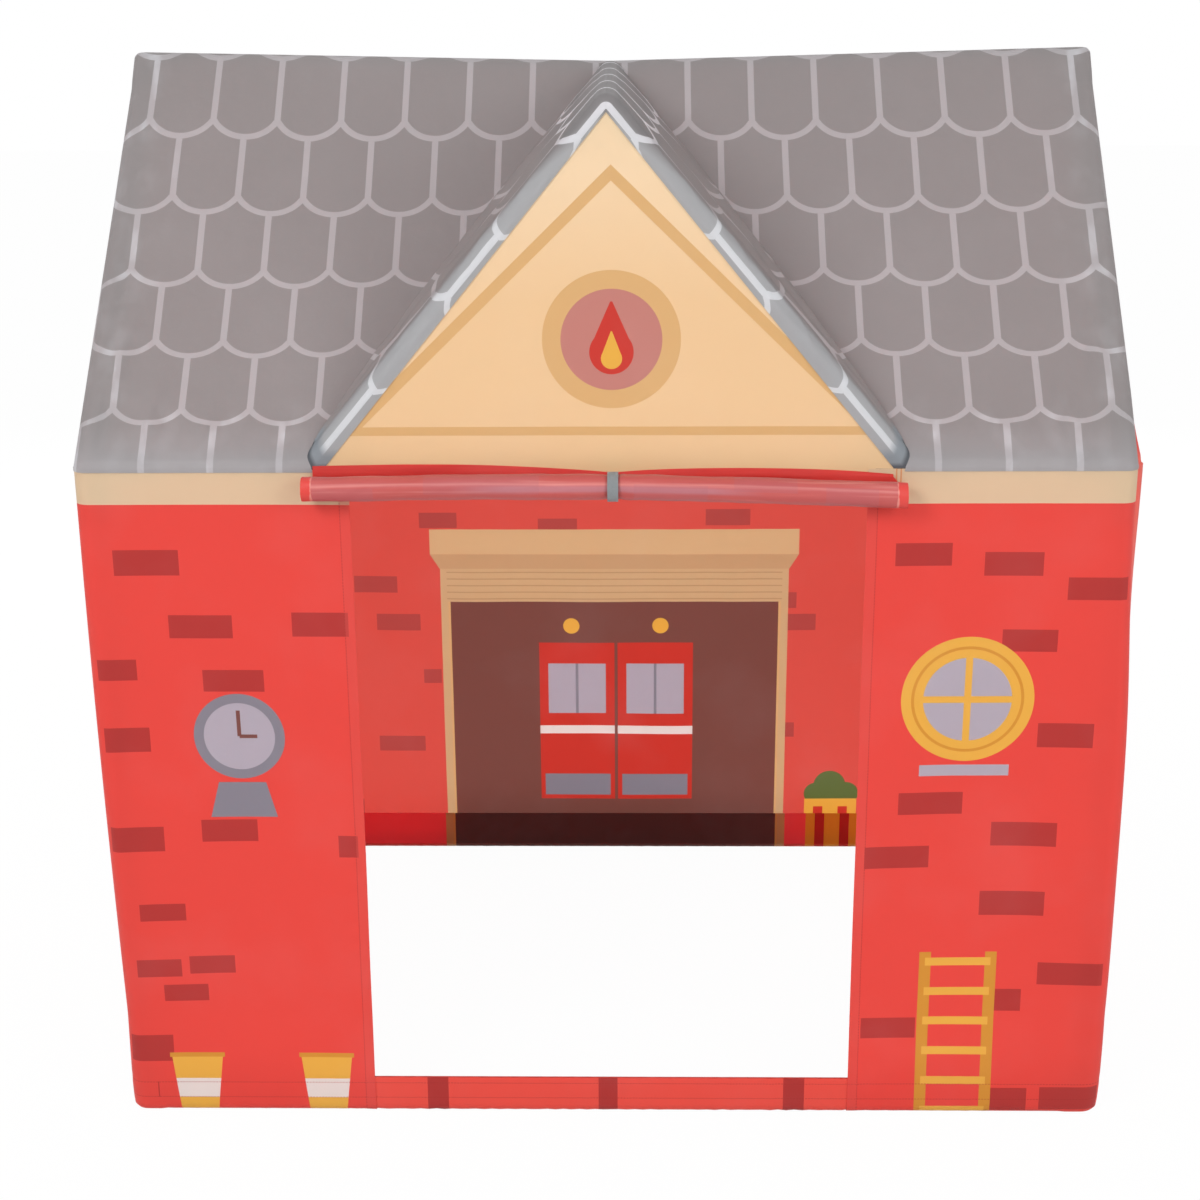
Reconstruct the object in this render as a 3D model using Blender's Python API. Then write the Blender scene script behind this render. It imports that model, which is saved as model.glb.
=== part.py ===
"""A fire station play tent: a frame of plastic tubes pushed into moulded connectors, a sewn cover
over it, and a cloth door rolled up above the doorway.

Run it with blender --background --python part.py, or from Blender's text editor.
Metres, +Z up, +X to the right of someone who faces the doorway, and +Y towards the back.
The origin is on the floor, under the middle of the whole tent, the rolled door included.
"""

import math

import bmesh
import bpy
from mathutils import Vector

# Overall sizes, measured over the cover
TENT_WIDTH = 1.016
TENT_DEPTH = 0.697
EAVE_HEIGHT = 0.701
RIDGE_HEIGHT = 1.0764
RIDGE_SAG = 0.0115
DORMER_SPAN = 0.568
DORMER_FALL = 0.0149

# Openings and bands of the cover
SLEEVE_AT_FOOT = 0.0105
SLEEVE_AT_APEX = 0.016
DOORWAY_WIDTH = 0.499
HEADER_DEPTH = 0.031
HEM_HEIGHT = 0.038
HEM_START = 0.016
WALL_BOW = 0.006
ROOF_BOW = 0.004
GABLE_BOW = 0.003
VALLEY_FOLD = 0.006

# Poles and their connectors
POLE_RADIUS = 0.0095
POLE_WALL = 0.0015
POLE_FIT = 0.0003
POLE_END_GAP = 0.001
SOCKET_WALL = 0.002
SOCKET_DEPTH = 0.030
HUB_SWELL = 0.0002
FOOT_RADIUS = 0.009
FLOOR_LIFT = 0.0006

# Cloth
CLOTH = 0.0012
COVER_FIT = 0.001
SEAM_GAP = 0.0004
VALLEY_GAP = 0.0008

# Door
DOOR_ROLL_LENGTH = 0.580
DOOR_ROLL_RADIUS = 0.013
DOOR_ROLL_PITCH = 0.0019
DOOR_ROLL_TURNS = 4
DOOR_ROLL_DROP = 0.0135
DOOR_CLOTH_FLANGE = 0.0012
DOOR_FIT = 0.0003
TIE_WIDTH = 0.009
TIE_THICKNESS = 0.0012

# Cutters run past what they cut by this much, and points closer than MERGE are one
OVERRUN = 0.004
MERGE = 0.000001

# Two arms of a connector that turn from each other by more than this are one straight tube
STRAIGHT = math.radians(179)

# Facets
POLE_SIDES = 12
HUB_RINGS = 8
WRAP_STEPS = 3
HEM_STEPS = 6
HEM_CORNER_STEPS = 1
SLOPE_STEPS = 5
FOLD_STEPS = 6
WALL_STEPS = 5
PANEL_STEPS = 4
GABLE_STEPS = 6
ROLL_STEPS = 14
ROLL_SPANS = 2
ROLL_CHECKS_PER_STEP = 4
SMOOTH_ANGLE = math.radians(40)

# What follows from them
SOCKET_BORE = POLE_RADIUS + POLE_FIT
SOCKET_RADIUS = SOCKET_BORE + SOCKET_WALL
HUB_RADIUS = SOCKET_RADIUS + HUB_SWELL
COVER_INSIDE = SOCKET_RADIUS + COVER_FIT
WRAP = COVER_INSIDE + CLOTH
TIE_STACK = DOOR_FIT + TIE_THICKNESS + DOOR_FIT
DOOR_STAND_OUT = TIE_STACK + CLOTH + 2 * (DOOR_FIT + DOOR_ROLL_RADIUS) + TIE_THICKNESS
FRONT = (DOOR_STAND_OUT - TENT_DEPTH) / 2
BACK = (DOOR_STAND_OUT + TENT_DEPTH) / 2
MIDDLE = (FRONT + BACK) / 2

SIDE_AXIS = TENT_WIDTH / 2 - WRAP
FRONT_AXIS = FRONT + WRAP
BACK_AXIS = BACK - WRAP
FLOOR_AXIS = WRAP + FLOOR_LIFT
RIDGE_AXIS = RIDGE_HEIGHT - WRAP
DORMER_HEIGHT = RIDGE_HEIGHT - RIDGE_SAG - DORMER_FALL
APEX_AXIS = DORMER_HEIGHT - WRAP
FOOT_AXIS = DORMER_SPAN / 2
DOOR_EDGE = DOORWAY_WIDTH / 2
GABLE_WIDTH = DORMER_SPAN - 2 * SLEEVE_AT_FOOT
GABLE_HEIGHT = DORMER_HEIGHT - SLEEVE_AT_APEX

LEFT = Vector((-1, 0, 0))
FORWARD = Vector((0, -1, 0))
UP = Vector((0, 0, 1))

# The frame's corners, where the axes of its poles meet
CORNERS = {
    "ridge_tee": Vector((0, MIDDLE, RIDGE_AXIS - RIDGE_SAG)),
    "dormer_apex": Vector((0, FRONT_AXIS, APEX_AXIS)),
}
for side, sign in (("left", -1), ("right", 1)):
    CORNERS[f"ridge_end_{side}"] = Vector((sign * SIDE_AXIS, MIDDLE, RIDGE_AXIS))
    CORNERS[f"dormer_foot_{side}"] = Vector((sign * FOOT_AXIS, FRONT_AXIS, EAVE_HEIGHT))
    for end, depth in (("front", FRONT_AXIS), ("back", BACK_AXIS)):
        CORNERS[f"floor_corner_{end}_{side}"] = Vector((sign * SIDE_AXIS, depth, FLOOR_AXIS))
        CORNERS[f"eave_corner_{end}_{side}"] = Vector((sign * SIDE_AXIS, depth, EAVE_HEIGHT))

# Each pole, and the two corners that it runs between
POLES = {
    "eave_pole_front_middle": ("dormer_foot_left", "dormer_foot_right"),
    "dormer_ridge_pole": ("dormer_apex", "ridge_tee"),
}
for end in ("front", "back"):
    POLES[f"floor_rail_{end}"] = (f"floor_corner_{end}_left", f"floor_corner_{end}_right")
POLES["eave_pole_back"] = ("eave_corner_back_left", "eave_corner_back_right")
for side in ("left", "right"):
    POLES[f"floor_rail_{side}"] = (f"floor_corner_front_{side}", f"floor_corner_back_{side}")
    POLES[f"eave_pole_{side}"] = (f"eave_corner_front_{side}", f"eave_corner_back_{side}")
    POLES[f"eave_pole_front_{side}"] = (f"eave_corner_front_{side}", f"dormer_foot_{side}")
    POLES[f"dormer_rafter_{side}"] = (f"dormer_foot_{side}", "dormer_apex")
    POLES[f"ridge_pole_{side}"] = (f"ridge_end_{side}", "ridge_tee")
    for end in ("front", "back"):
        POLES[f"post_{end}_{side}"] = (f"floor_corner_{end}_{side}", f"eave_corner_{end}_{side}")
        POLES[f"rafter_{end}_{side}"] = (f"eave_corner_{end}_{side}", f"ridge_end_{side}")


def finish(name, color, roughness):
    """A plain material in the part's colour."""
    material = bpy.data.materials.new(name)
    material.use_nodes = True
    shader = material.node_tree.nodes["Principled BSDF"]
    shader.inputs["Base Color"].default_value = (*color, 1)
    shader.inputs["Roughness"].default_value = roughness
    shader.inputs["Metallic"].default_value = 0
    return material


def add_object(name, bm, material, parent=None, location=(0, 0, 0)):
    """An object from a bmesh, shaded smooth where its faces turn gently."""
    mesh = bpy.data.meshes.new(name)
    bmesh.ops.recalc_face_normals(bm, faces=bm.faces)
    bm.to_mesh(mesh)
    bm.free()
    mesh.shade_smooth()
    mesh.set_sharp_from_angle(angle=SMOOTH_ANGLE)
    mesh.materials.append(material)
    thing = bpy.data.objects.new(name, mesh)
    thing.location = location
    thing.parent = parent
    bpy.context.collection.objects.link(thing)
    return thing


def add_empty(name, location=(0, 0, 0)):
    """An empty that other objects hang from."""
    empty = bpy.data.objects.new(name, None)
    empty.location = location
    bpy.context.collection.objects.link(empty)
    return empty


def add_helper(name, bm, material, parent, location):
    """A mesh that a Boolean uses, and that isn't a piece of the tent."""
    helper = add_object(name, bm, material, parent, location)
    helper.hide_render = True
    helper.display_type = "WIRE"
    return helper


def add_rod(bm, start, end, radius):
    """A closed round rod between two points."""
    run = end - start
    place = run.to_track_quat("Z", "Y").to_matrix().to_4x4()
    place.translation = (start + end) / 2
    bmesh.ops.create_cone(
        bm,
        cap_ends=True,
        segments=POLE_SIDES,
        radius1=radius,
        radius2=radius,
        depth=run.length,
        matrix=place,
    )


def arms_of(corner):
    """The unit directions in which poles leave a corner."""
    arms = []
    for start, end in POLES.values():
        if corner == start:
            arms.append((CORNERS[end] - CORNERS[start]).normalized())
        if corner == end:
            arms.append((CORNERS[start] - CORNERS[end]).normalized())
    return arms


def inset_of(corner):
    """How far from a corner its poles stop, so that they clear each other inside the hub."""
    arms = arms_of(corner)
    insets = []
    for index, arm in enumerate(arms):
        for other in arms[index + 1 :]:
            insets.append((SOCKET_BORE + POLE_END_GAP) / math.tan(arm.angle(other) / 2))
    return max(insets)


def add_pole(name, material, parent):
    """A tube that ends inside the connectors at its two corners."""
    first, last = POLES[name]
    run = CORNERS[last] - CORNERS[first]
    toward = run.normalized()
    start = CORNERS[first] + inset_of(first) * toward
    end = CORNERS[last] - inset_of(last) * toward
    bm = bmesh.new()
    bmesh.ops.create_cone(
        bm,
        cap_ends=False,
        segments=POLE_SIDES,
        radius1=POLE_RADIUS,
        radius2=POLE_RADIUS,
        depth=(end - start).length,
    )
    pole = add_object(name, bm, material, parent, (start + end) / 2)
    pole.rotation_euler = run.to_track_quat("Z", "Y").to_euler()
    wall = pole.modifiers.new("wall", "SOLIDIFY")
    wall.thickness = POLE_WALL
    wall.offset = -1
    wall.use_even_offset = True


def add_boolean(thing, operation, helper):
    """Adds or cuts away a helper's shape."""
    boolean = thing.modifiers.new(operation.lower(), "BOOLEAN")
    boolean.operation = operation
    boolean.solver = "EXACT"
    boolean.use_self = True
    boolean.object = helper


def add_connector(name, material, parent):
    """A moulded hub with one socket for each pole, and a foot where it stands on the floor."""
    centre = CORNERS[name]
    reach = inset_of(name) + SOCKET_DEPTH
    hub = bmesh.new()
    bmesh.ops.create_uvsphere(hub, u_segments=POLE_SIDES, v_segments=HUB_RINGS, radius=HUB_RADIUS)
    sockets = bmesh.new()
    bores = bmesh.new()
    arms = arms_of(name)
    for index, arm in enumerate(arms):
        add_rod(bores, (reach - SOCKET_DEPTH) * arm, (reach + OVERRUN) * arm, SOCKET_BORE)
        opposite = [n for n, other in enumerate(arms) if arm.angle(other) > STRAIGHT]
        if not opposite:
            add_rod(sockets, Vector(), reach * arm, SOCKET_RADIUS)
        elif index < opposite[0]:
            add_rod(sockets, reach * arms[opposite[0]], reach * arm, SOCKET_RADIUS)
    if name.startswith("floor_corner"):
        add_rod(sockets, Vector(), -centre.z * UP, FOOT_RADIUS)
    connector = add_object(name, hub, material, parent, centre)
    socket_helper = add_helper(f"{name}_sockets", sockets, material, parent, centre)
    bore_helper = add_helper(f"{name}_bores", bores, material, parent, centre)
    add_boolean(connector, "UNION", socket_helper)
    add_boolean(connector, "DIFFERENCE", bore_helper)


def turn(first, last, share):
    """A unit direction part of the way round from one direction to another."""
    if first.angle(last) < MERGE:
        return first.copy()
    return first.slerp(last, share)


def add_cloth(name, columns, rows, place, material, parent, keep=None):
    """A sheet of cloth. place gives, for a column and a row, the point on its outer face and
    the direction that points out of the cloth there. keep drops the cells it says no to."""
    bm = bmesh.new()
    bmesh.ops.create_grid(bm, x_segments=columns, y_segments=rows, size=1)
    outward = bm.verts.layers.float_vector.new("outward")
    cells = {}
    for vert in bm.verts:
        cells[vert] = (round((vert.co.x + 1) / 2 * columns), round((vert.co.y + 1) / 2 * rows))
    if keep:
        spare = [f for f in bm.faces if not keep(*(min(cells[v][n] for v in f.verts) for n in (0, 1)))]
        bmesh.ops.delete(bm, geom=spare, context="FACES")
    for vert in bm.verts:
        point, out = place(*cells[vert])
        vert.co = point
        vert[outward] = out
    bmesh.ops.remove_doubles(bm, verts=bm.verts, dist=MERGE)
    lining = bmesh.ops.extrude_face_region(bm, geom=bm.faces[:], use_keep_orig=True)
    for item in lining["geom"]:
        if isinstance(item, bmesh.types.BMVert):
            item.co -= CLOTH * item[outward]
    return add_object(name, bm, material, parent)


def bow(u, v, depth):
    """How far a sheet held on all four edges sinks, at shares u and v across it."""
    return depth * math.sin(math.pi * min(max(u, 0), 1)) * math.sin(math.pi * min(max(v, 0), 1))


def hem_row(row, out, axis_height):
    """For a row below the floor rail's axis: the height of its axis point, and its direction.
    The hem turns under the rail, and its last row runs up inside as a flap."""
    angle = math.pi * min(row, HEM_STEPS) / HEM_STEPS
    direction = math.cos(angle) * out - math.sin(angle) * UP
    height = axis_height if row <= HEM_STEPS else HEM_HEIGHT
    return height, direction


def end_wall_columns(first, last, wrap_first, wrap_last):
    """Columns of the front or back wall from x = first to last: each is an axis place and the
    angle by which it has turned round a corner post. The hem starts and stops on a column."""
    columns = []
    if wrap_first:
        columns += [(first, -math.pi / 2 * (1 - n / WRAP_STEPS)) for n in range(WRAP_STEPS)]
    inner_first = first + HEM_START if wrap_first else first
    inner_last = last - HEM_START if wrap_last else last
    if wrap_first:
        columns.append((first, 0))
    steps = PANEL_STEPS * (2 if wrap_first and wrap_last else 1)
    columns += [(inner_first + (inner_last - inner_first) * n / steps, 0) for n in range(steps + 1)]
    if wrap_last:
        columns.append((last, 0))
        columns += [(last, math.pi / 2 * (n + 1) / WRAP_STEPS) for n in range(WRAP_STEPS)]
    return columns


def add_end_wall(name, extent, depth_axis, out, material, parent):
    """A panel of the front or back wall, with its hem round the floor rail. extent holds its
    two ends along X, and for each whether it wraps round a corner post there."""
    first, last, wrap_first, wrap_last = extent
    columns = end_wall_columns(first, last, wrap_first, wrap_last)
    top = EAVE_HEIGHT - SEAM_GAP

    def place(column, row):
        across, angle = columns[column]
        if row <= WALL_STEPS:
            share = row / WALL_STEPS
            height = top + (FLOOR_AXIS - top) * share
            direction = out
        else:
            share = 1
            height, direction = hem_row(row - WALL_STEPS, out, FLOOR_AXIS)
        sunk = bow((across - first) / (last - first), share, WALL_BOW)
        direction = math.cos(angle) * direction - math.sin(angle) * LEFT
        return Vector((across, depth_axis, height)) + (WRAP - sunk) * direction, direction

    def keep(column, row):
        held = row < WALL_STEPS + HEM_CORNER_STEPS
        start = wrap_first and column <= WRAP_STEPS
        end = wrap_last and column >= len(columns) - 2 - WRAP_STEPS
        return held or not (start or end)

    rows = WALL_STEPS + HEM_STEPS + 1
    add_cloth(name, len(columns) - 1, rows, place, material, parent, keep)


def add_side_wall(name, sign, material, parent):
    """The left or right wall with its gable end, flat against the frame's side."""
    out = Vector((sign, 0, 0))
    near = FRONT_AXIS + SEAM_GAP
    far = BACK_AXIS - SEAM_GAP
    inner_near = near + HEM_START
    inner_far = far - HEM_START
    steps = 2 * PANEL_STEPS
    columns = [near]
    columns += [inner_near + (inner_far - inner_near) * n / steps for n in range(steps + 1)]
    columns.append(far)

    def place(column, row):
        depth = columns[column]
        across = (depth - FRONT_AXIS) / (BACK_AXIS - FRONT_AXIS)
        eave = EAVE_HEIGHT - 2 * SEAM_GAP
        top = eave + (RIDGE_AXIS - EAVE_HEIGHT) * (1 - abs(2 * across - 1))
        direction = out
        if row <= GABLE_STEPS:
            share = row / GABLE_STEPS
            height = top + (eave - top) * share
        elif row <= GABLE_STEPS + WALL_STEPS:
            share = (row - GABLE_STEPS) / WALL_STEPS
            height = eave + (FLOOR_AXIS - eave) * share
        else:
            share = 1
            height, direction = hem_row(row - GABLE_STEPS - WALL_STEPS, out, FLOOR_AXIS)
        sunk = bow(across, share, WALL_BOW)
        return Vector((sign * SIDE_AXIS, depth, height)) + (WRAP - sunk) * direction, direction

    def keep(column, row):
        held = row < GABLE_STEPS + WALL_STEPS + HEM_CORNER_STEPS
        return held or 0 < column < len(columns) - 2

    rows = GABLE_STEPS + WALL_STEPS + HEM_STEPS + 1
    add_cloth(name, len(columns) - 1, rows, place, material, parent, keep)


def ridge_at(across):
    """The ridge pole's axis at a place across the tent. It sags to the tee in the middle."""
    drop = RIDGE_SAG * (1 - abs(across) / SIDE_AXIS)
    return Vector((across, MIDDLE, RIDGE_AXIS - drop))


def add_back_roof(name, material, parent):
    """The back slope, wrapped round the eave pole, the back rafters and half the ridge."""
    slope = (ridge_at(SIDE_AXIS) - CORNERS["eave_corner_back_right"]).normalized()
    normal = slope.cross(LEFT)
    if normal.z < 0:
        normal = -normal
    steps = 2 * PANEL_STEPS
    columns = [(-SIDE_AXIS, math.pi / 2 * (1 - n / WRAP_STEPS)) for n in range(WRAP_STEPS)]
    columns += [(SIDE_AXIS * (2 * n / steps - 1), 0) for n in range(steps + 1)]
    columns += [(SIDE_AXIS, -math.pi / 2 * (n + 1) / WRAP_STEPS) for n in range(WRAP_STEPS)]

    def place(column, row):
        across, angle = columns[column]
        eave = Vector((across, BACK_AXIS, EAVE_HEIGHT))
        share = (row - WRAP_STEPS) / SLOPE_STEPS
        if share < 0:
            direction = turn(-FORWARD, normal, row / WRAP_STEPS)
        elif share > 1:
            direction = turn(normal, UP, (row - WRAP_STEPS - SLOPE_STEPS) / WRAP_STEPS)
        else:
            direction = normal
        axis = eave.lerp(ridge_at(across), min(max(share, 0), 1))
        sunk = bow(across / SIDE_AXIS / 2 + 1 / 2, share, ROOF_BOW)
        direction = math.cos(angle) * direction + math.sin(angle) * LEFT
        seam = Vector((0, SEAM_GAP / 2, 0))
        return axis + (WRAP - sunk) * direction + seam, direction

    add_cloth(name, len(columns) - 1, 2 * WRAP_STEPS + SLOPE_STEPS, place, material, parent)


class Dormer:
    """One side of the front roof, where the dormer's cloth meets the main slope in a valley.
    It is worked out on the left, and sign mirrors it to the right."""

    def __init__(self, sign):
        self.sign = sign
        self.foot = CORNERS["dormer_foot_left"]
        self.apex = CORNERS["dormer_apex"]
        self.tee = CORNERS["ridge_tee"]
        self.rafter = (self.apex - self.foot).normalized()
        self.main_normal = (self.tee - self.foot).cross(LEFT).normalized()
        if self.main_normal.z < 0:
            self.main_normal = -self.main_normal
        self.dormer_normal = (self.apex - self.foot).cross(self.tee - self.foot).normalized()
        if self.dormer_normal.z < 0:
            self.dormer_normal = -self.dormer_normal
        self.main_turn = FORWARD.angle(self.main_normal)
        self.dormer_turn = FORWARD.angle(self.dormer_normal)
        turns = [self.main_turn * n / WRAP_STEPS for n in range(WRAP_STEPS)]
        rest = self.dormer_turn - self.main_turn
        turns += [self.main_turn + rest * n / WRAP_STEPS for n in range(WRAP_STEPS + 1)]
        self.turns = turns
        self.valley_start = self.foot_point(self.dormer_turn)
        self.valley_end = self.tee_point(self.main_turn_from_up())

    def main_turn_from_up(self):
        return UP.angle(self.main_normal)

    def around_rafter(self, angle):
        """A direction square to the dormer rafter, turned up and out from straight ahead."""
        return turn(FORWARD, self.dormer_normal, angle / self.dormer_turn)

    def shift_on_rafter(self, angle):
        """How far along the rafter, in wrap radii, its cloth starts at this turn."""
        direction = self.around_rafter(angle)
        if angle <= self.main_turn:
            level = LEFT.angle(-self.rafter)
            return math.tan(level / 2) * direction.dot(self.rafter.cross(FORWARD).normalized() * -1)
        return (1 - direction.dot(self.main_normal)) / self.rafter.dot(self.main_normal)

    def foot_point(self, angle):
        """A point of the valley's curved lower end, round the dormer's foot."""
        shift = self.shift_on_rafter(angle)
        return self.foot + WRAP * (self.around_rafter(angle) + shift * self.rafter)

    def tee_point(self, angle):
        """A point of the valley's curved upper end, at the ridge tee, angle down from the top."""
        side = math.sin(angle)
        return self.tee + WRAP * Vector((-side, -side, math.cos(angle)))

    def valley(self, share):
        return self.valley_start.lerp(self.valley_end, share)

    def mirrored(self, point, out):
        flip = Vector((-self.sign, 1, 1))
        return point * flip, out * flip


def add_front_roof(name, dormer, material, parent):
    """One half of the front slope, from the gable end to the valley beside the dormer."""
    corner = CORNERS["eave_corner_front_left"]
    end = CORNERS["ridge_end_left"]
    normal = dormer.main_normal
    turns = dormer.turns
    above = dormer.main_turn_from_up()
    straight = len(turns) - 1
    top = straight + SLOPE_STEPS

    def row_parts(row):
        """The row's axis point at the gable end, its direction and its point in the valley."""
        if row <= WRAP_STEPS:
            direction = turn(FORWARD, normal, row / WRAP_STEPS)
            return corner, direction, dormer.foot_point(turns[row])
        if row <= straight:
            valley = dormer.foot_point(turns[row])
        elif row <= top:
            valley = dormer.valley((row - straight) / SLOPE_STEPS)
        else:
            share = (row - top) / WRAP_STEPS
            return end, turn(normal, UP, share), dormer.tee_point(above * (1 - share))
        share = (row - WRAP_STEPS) / (top - WRAP_STEPS)
        return corner.lerp(end, share), normal, valley

    def place(column, row):
        axis, direction, valley = row_parts(row)
        if column < WRAP_STEPS:
            angle = math.pi / 2 * (1 - column / WRAP_STEPS)
            direction = math.cos(angle) * direction + math.sin(angle) * LEFT
            point = axis + WRAP * direction
        else:
            across = (column - WRAP_STEPS) / PANEL_STEPS
            edge = valley + VALLEY_GAP * LEFT
            sunk = bow(across, (row - WRAP_STEPS) / (top - WRAP_STEPS), ROOF_BOW)
            point = (axis + WRAP * direction).lerp(edge, across) - sunk * direction
        return dormer.mirrored(point + SEAM_GAP / 2 * FORWARD, direction)

    add_cloth(name, WRAP_STEPS + PANEL_STEPS, top + WRAP_STEPS, place, material, parent)


def add_dormer_roof(name, dormer, material, parent):
    """One slope of the dormer: from its seam beside the gable, round the rafter pole, back to
    the valley, and up over half of the dormer ridge."""
    seam_foot = Vector((-GABLE_WIDTH / 2, FRONT, EAVE_HEIGHT))
    seam_apex = Vector((0, FRONT, GABLE_HEIGHT))
    along_ridge = (dormer.tee - dormer.apex).normalized()
    top = along_ridge.cross(LEFT)
    if top.z < 0:
        top = -top
    turns = dormer.turns
    wrapped = len(turns)

    def place(column, row):
        along = min(column / SLOPE_STEPS, 1)
        over = max(column - SLOPE_STEPS, 0) / WRAP_STEPS
        slope_out = turn(dormer.dormer_normal, top, over)
        if row == 0:
            point = seam_foot.lerp(seam_apex, along)
            direction = FORWARD
        elif row <= wrapped:
            angle = turns[row - 1]
            share = angle / dormer.dormer_turn
            direction = turn(FORWARD, slope_out, share)
            start = dormer.foot + WRAP * dormer.shift_on_rafter(angle) * dormer.rafter
            point = start.lerp(dormer.apex, along) + WRAP * direction
        else:
            back = (row - wrapped) / FOLD_STEPS
            direction = slope_out
            start = dormer.foot + WRAP * dormer.shift_on_rafter(dormer.dormer_turn) * dormer.rafter
            front = start.lerp(dormer.apex, along) + WRAP * direction
            valley = dormer.valley(along)
            if over:
                valley = dormer.tee_point(dormer.main_turn_from_up() * (1 - over))
            fold = VALLEY_FOLD * math.sin(2 * math.pi * back) * math.sin(math.pi * along)
            point = front.lerp(valley, back) + fold * direction
        gap = Vector((-SEAM_GAP / 2, -SEAM_GAP / 2, 0))
        return dormer.mirrored(point + gap, direction)

    columns = SLOPE_STEPS + WRAP_STEPS
    add_cloth(name, columns, wrapped + FOLD_STEPS, place, material, parent)


def add_gable(name, material, parent):
    """The triangle of cloth inside the dormer's front, a seam's gap inside its sloping edges."""
    inset = 2 * SEAM_GAP
    bottom = EAVE_HEIGHT
    rise = GABLE_HEIGHT - EAVE_HEIGHT
    slope = math.hypot(GABLE_WIDTH / 2, rise)
    top = GABLE_HEIGHT - inset * slope / (GABLE_WIDTH / 2)
    half = GABLE_WIDTH / 2 - inset * slope / rise

    def place(column, row):
        up = row / GABLE_STEPS
        across = column / GABLE_STEPS
        sunk = bow(across, up, GABLE_BOW)
        height = bottom + (top - bottom) * up
        return Vector((half * (1 - up) * (2 * across - 1), FRONT + sunk, height)), FORWARD

    add_cloth(name, GABLE_STEPS, GABLE_STEPS, place, material, parent)


def add_header(name, material, parent):
    """The strip over the doorway, in front of the eave pole."""
    half = DOOR_EDGE - SEAM_GAP
    top = EAVE_HEIGHT - SEAM_GAP

    def place(column, row):
        return Vector((half * (column - 1), FRONT, top - HEADER_DEPTH * row)), FORWARD

    add_cloth(name, 2, 1, place, material, parent)


def add_sill(name, material, parent):
    """The sleeve of cloth round the front floor rail, across the doorway."""
    half = DOOR_EDGE - SEAM_GAP

    def place(column, row):
        if row == 0:
            height, direction = HEM_HEIGHT, FORWARD
        else:
            height, direction = hem_row(row - 1, FORWARD, FLOOR_AXIS)
        return Vector((half * (column - 1), FRONT_AXIS, height)) + WRAP * direction, direction

    add_cloth(name, 2, HEM_STEPS + 2, place, material, parent)


ROLL_AXIS = Vector(
    (
        0,
        FRONT - TIE_STACK - CLOTH - DOOR_FIT - DOOR_ROLL_RADIUS,
        EAVE_HEIGHT - DOOR_ROLL_DROP,
    )
)


def spiral_point(step, inward):
    """A point of the door's winding, measured from the roll's axis, and inward of its face.
    From the back of the roll it goes down and round, so that the roll pays out as it sinks."""
    angle = 2 * math.pi * step / ROLL_STEPS
    radius = DOOR_ROLL_RADIUS - DOOR_ROLL_PITCH * step / ROLL_STEPS - inward
    return Vector((0, radius * math.cos(angle), -radius * math.sin(angle)))


def least_gap_in_roll():
    """The least distance between the winding's inner face and the next turn's outer face."""
    outer_steps = ROLL_STEPS * (DOOR_ROLL_TURNS - 1)
    gaps = []
    for check in range(ROLL_CHECKS_PER_STEP * outer_steps + 1):
        step = check / ROLL_CHECKS_PER_STEP
        gaps.append((spiral_point(step, CLOTH) - spiral_point(step + ROLL_STEPS, 0)).length)
    return min(gaps)


def add_roll(name, material, parent):
    """The rolled-up door: one unbroken winding of cloth, which starts at the back of the roll."""
    steps = ROLL_STEPS * DOOR_ROLL_TURNS
    bm = bmesh.new()
    bmesh.ops.create_grid(bm, x_segments=ROLL_SPANS, y_segments=steps, size=1)
    cells = {v: (v.co.x, round((v.co.y + 1) / 2 * steps)) for v in bm.verts}
    for vert, (across, step) in cells.items():
        vert.co = spiral_point(step, 0)
        vert.co.x = across * DOOR_ROLL_LENGTH / 2
    inner = bmesh.ops.extrude_face_region(bm, geom=bm.faces[:], use_keep_orig=True)
    for item in inner["geom"]:
        if isinstance(item, bmesh.types.BMVert):
            radius = math.hypot(item.co.y, item.co.z)
            item.co.yz = item.co.yz * (radius - CLOTH) / radius
    add_object(name, bm, material, parent)


def add_profile(name, outline, width, material, parent):
    """A strip of cloth: an outline in the YZ plane, drawn out along X about the middle."""
    bm = bmesh.new()
    verts = [bm.verts.new(Vector((-width / 2, y, z)) - parent.location) for y, z in outline]
    face = bm.faces.new(verts)
    drawn = bmesh.ops.extrude_face_region(bm, geom=[face], use_keep_orig=True)
    moved = [item for item in drawn["geom"] if isinstance(item, bmesh.types.BMVert)]
    bmesh.ops.translate(bm, verts=moved, vec=Vector((width, 0, 0)))
    add_object(name, bm, material, parent)


def add_door_cloth(name, material, parent):
    """The short length of door between its seam under the gable and the back of the roll."""
    back = FRONT - TIE_STACK
    front = back - CLOTH
    top = EAVE_HEIGHT
    seam = FRONT - DOOR_FIT
    outline = [
        (seam, top),
        (front, top),
        (front, ROLL_AXIS.z),
        (back, ROLL_AXIS.z),
        (back, top - DOOR_CLOTH_FLANGE),
        (seam, top - DOOR_CLOTH_FLANGE),
    ]
    add_profile(name, outline, DOOR_ROLL_LENGTH, material, parent)


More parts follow.
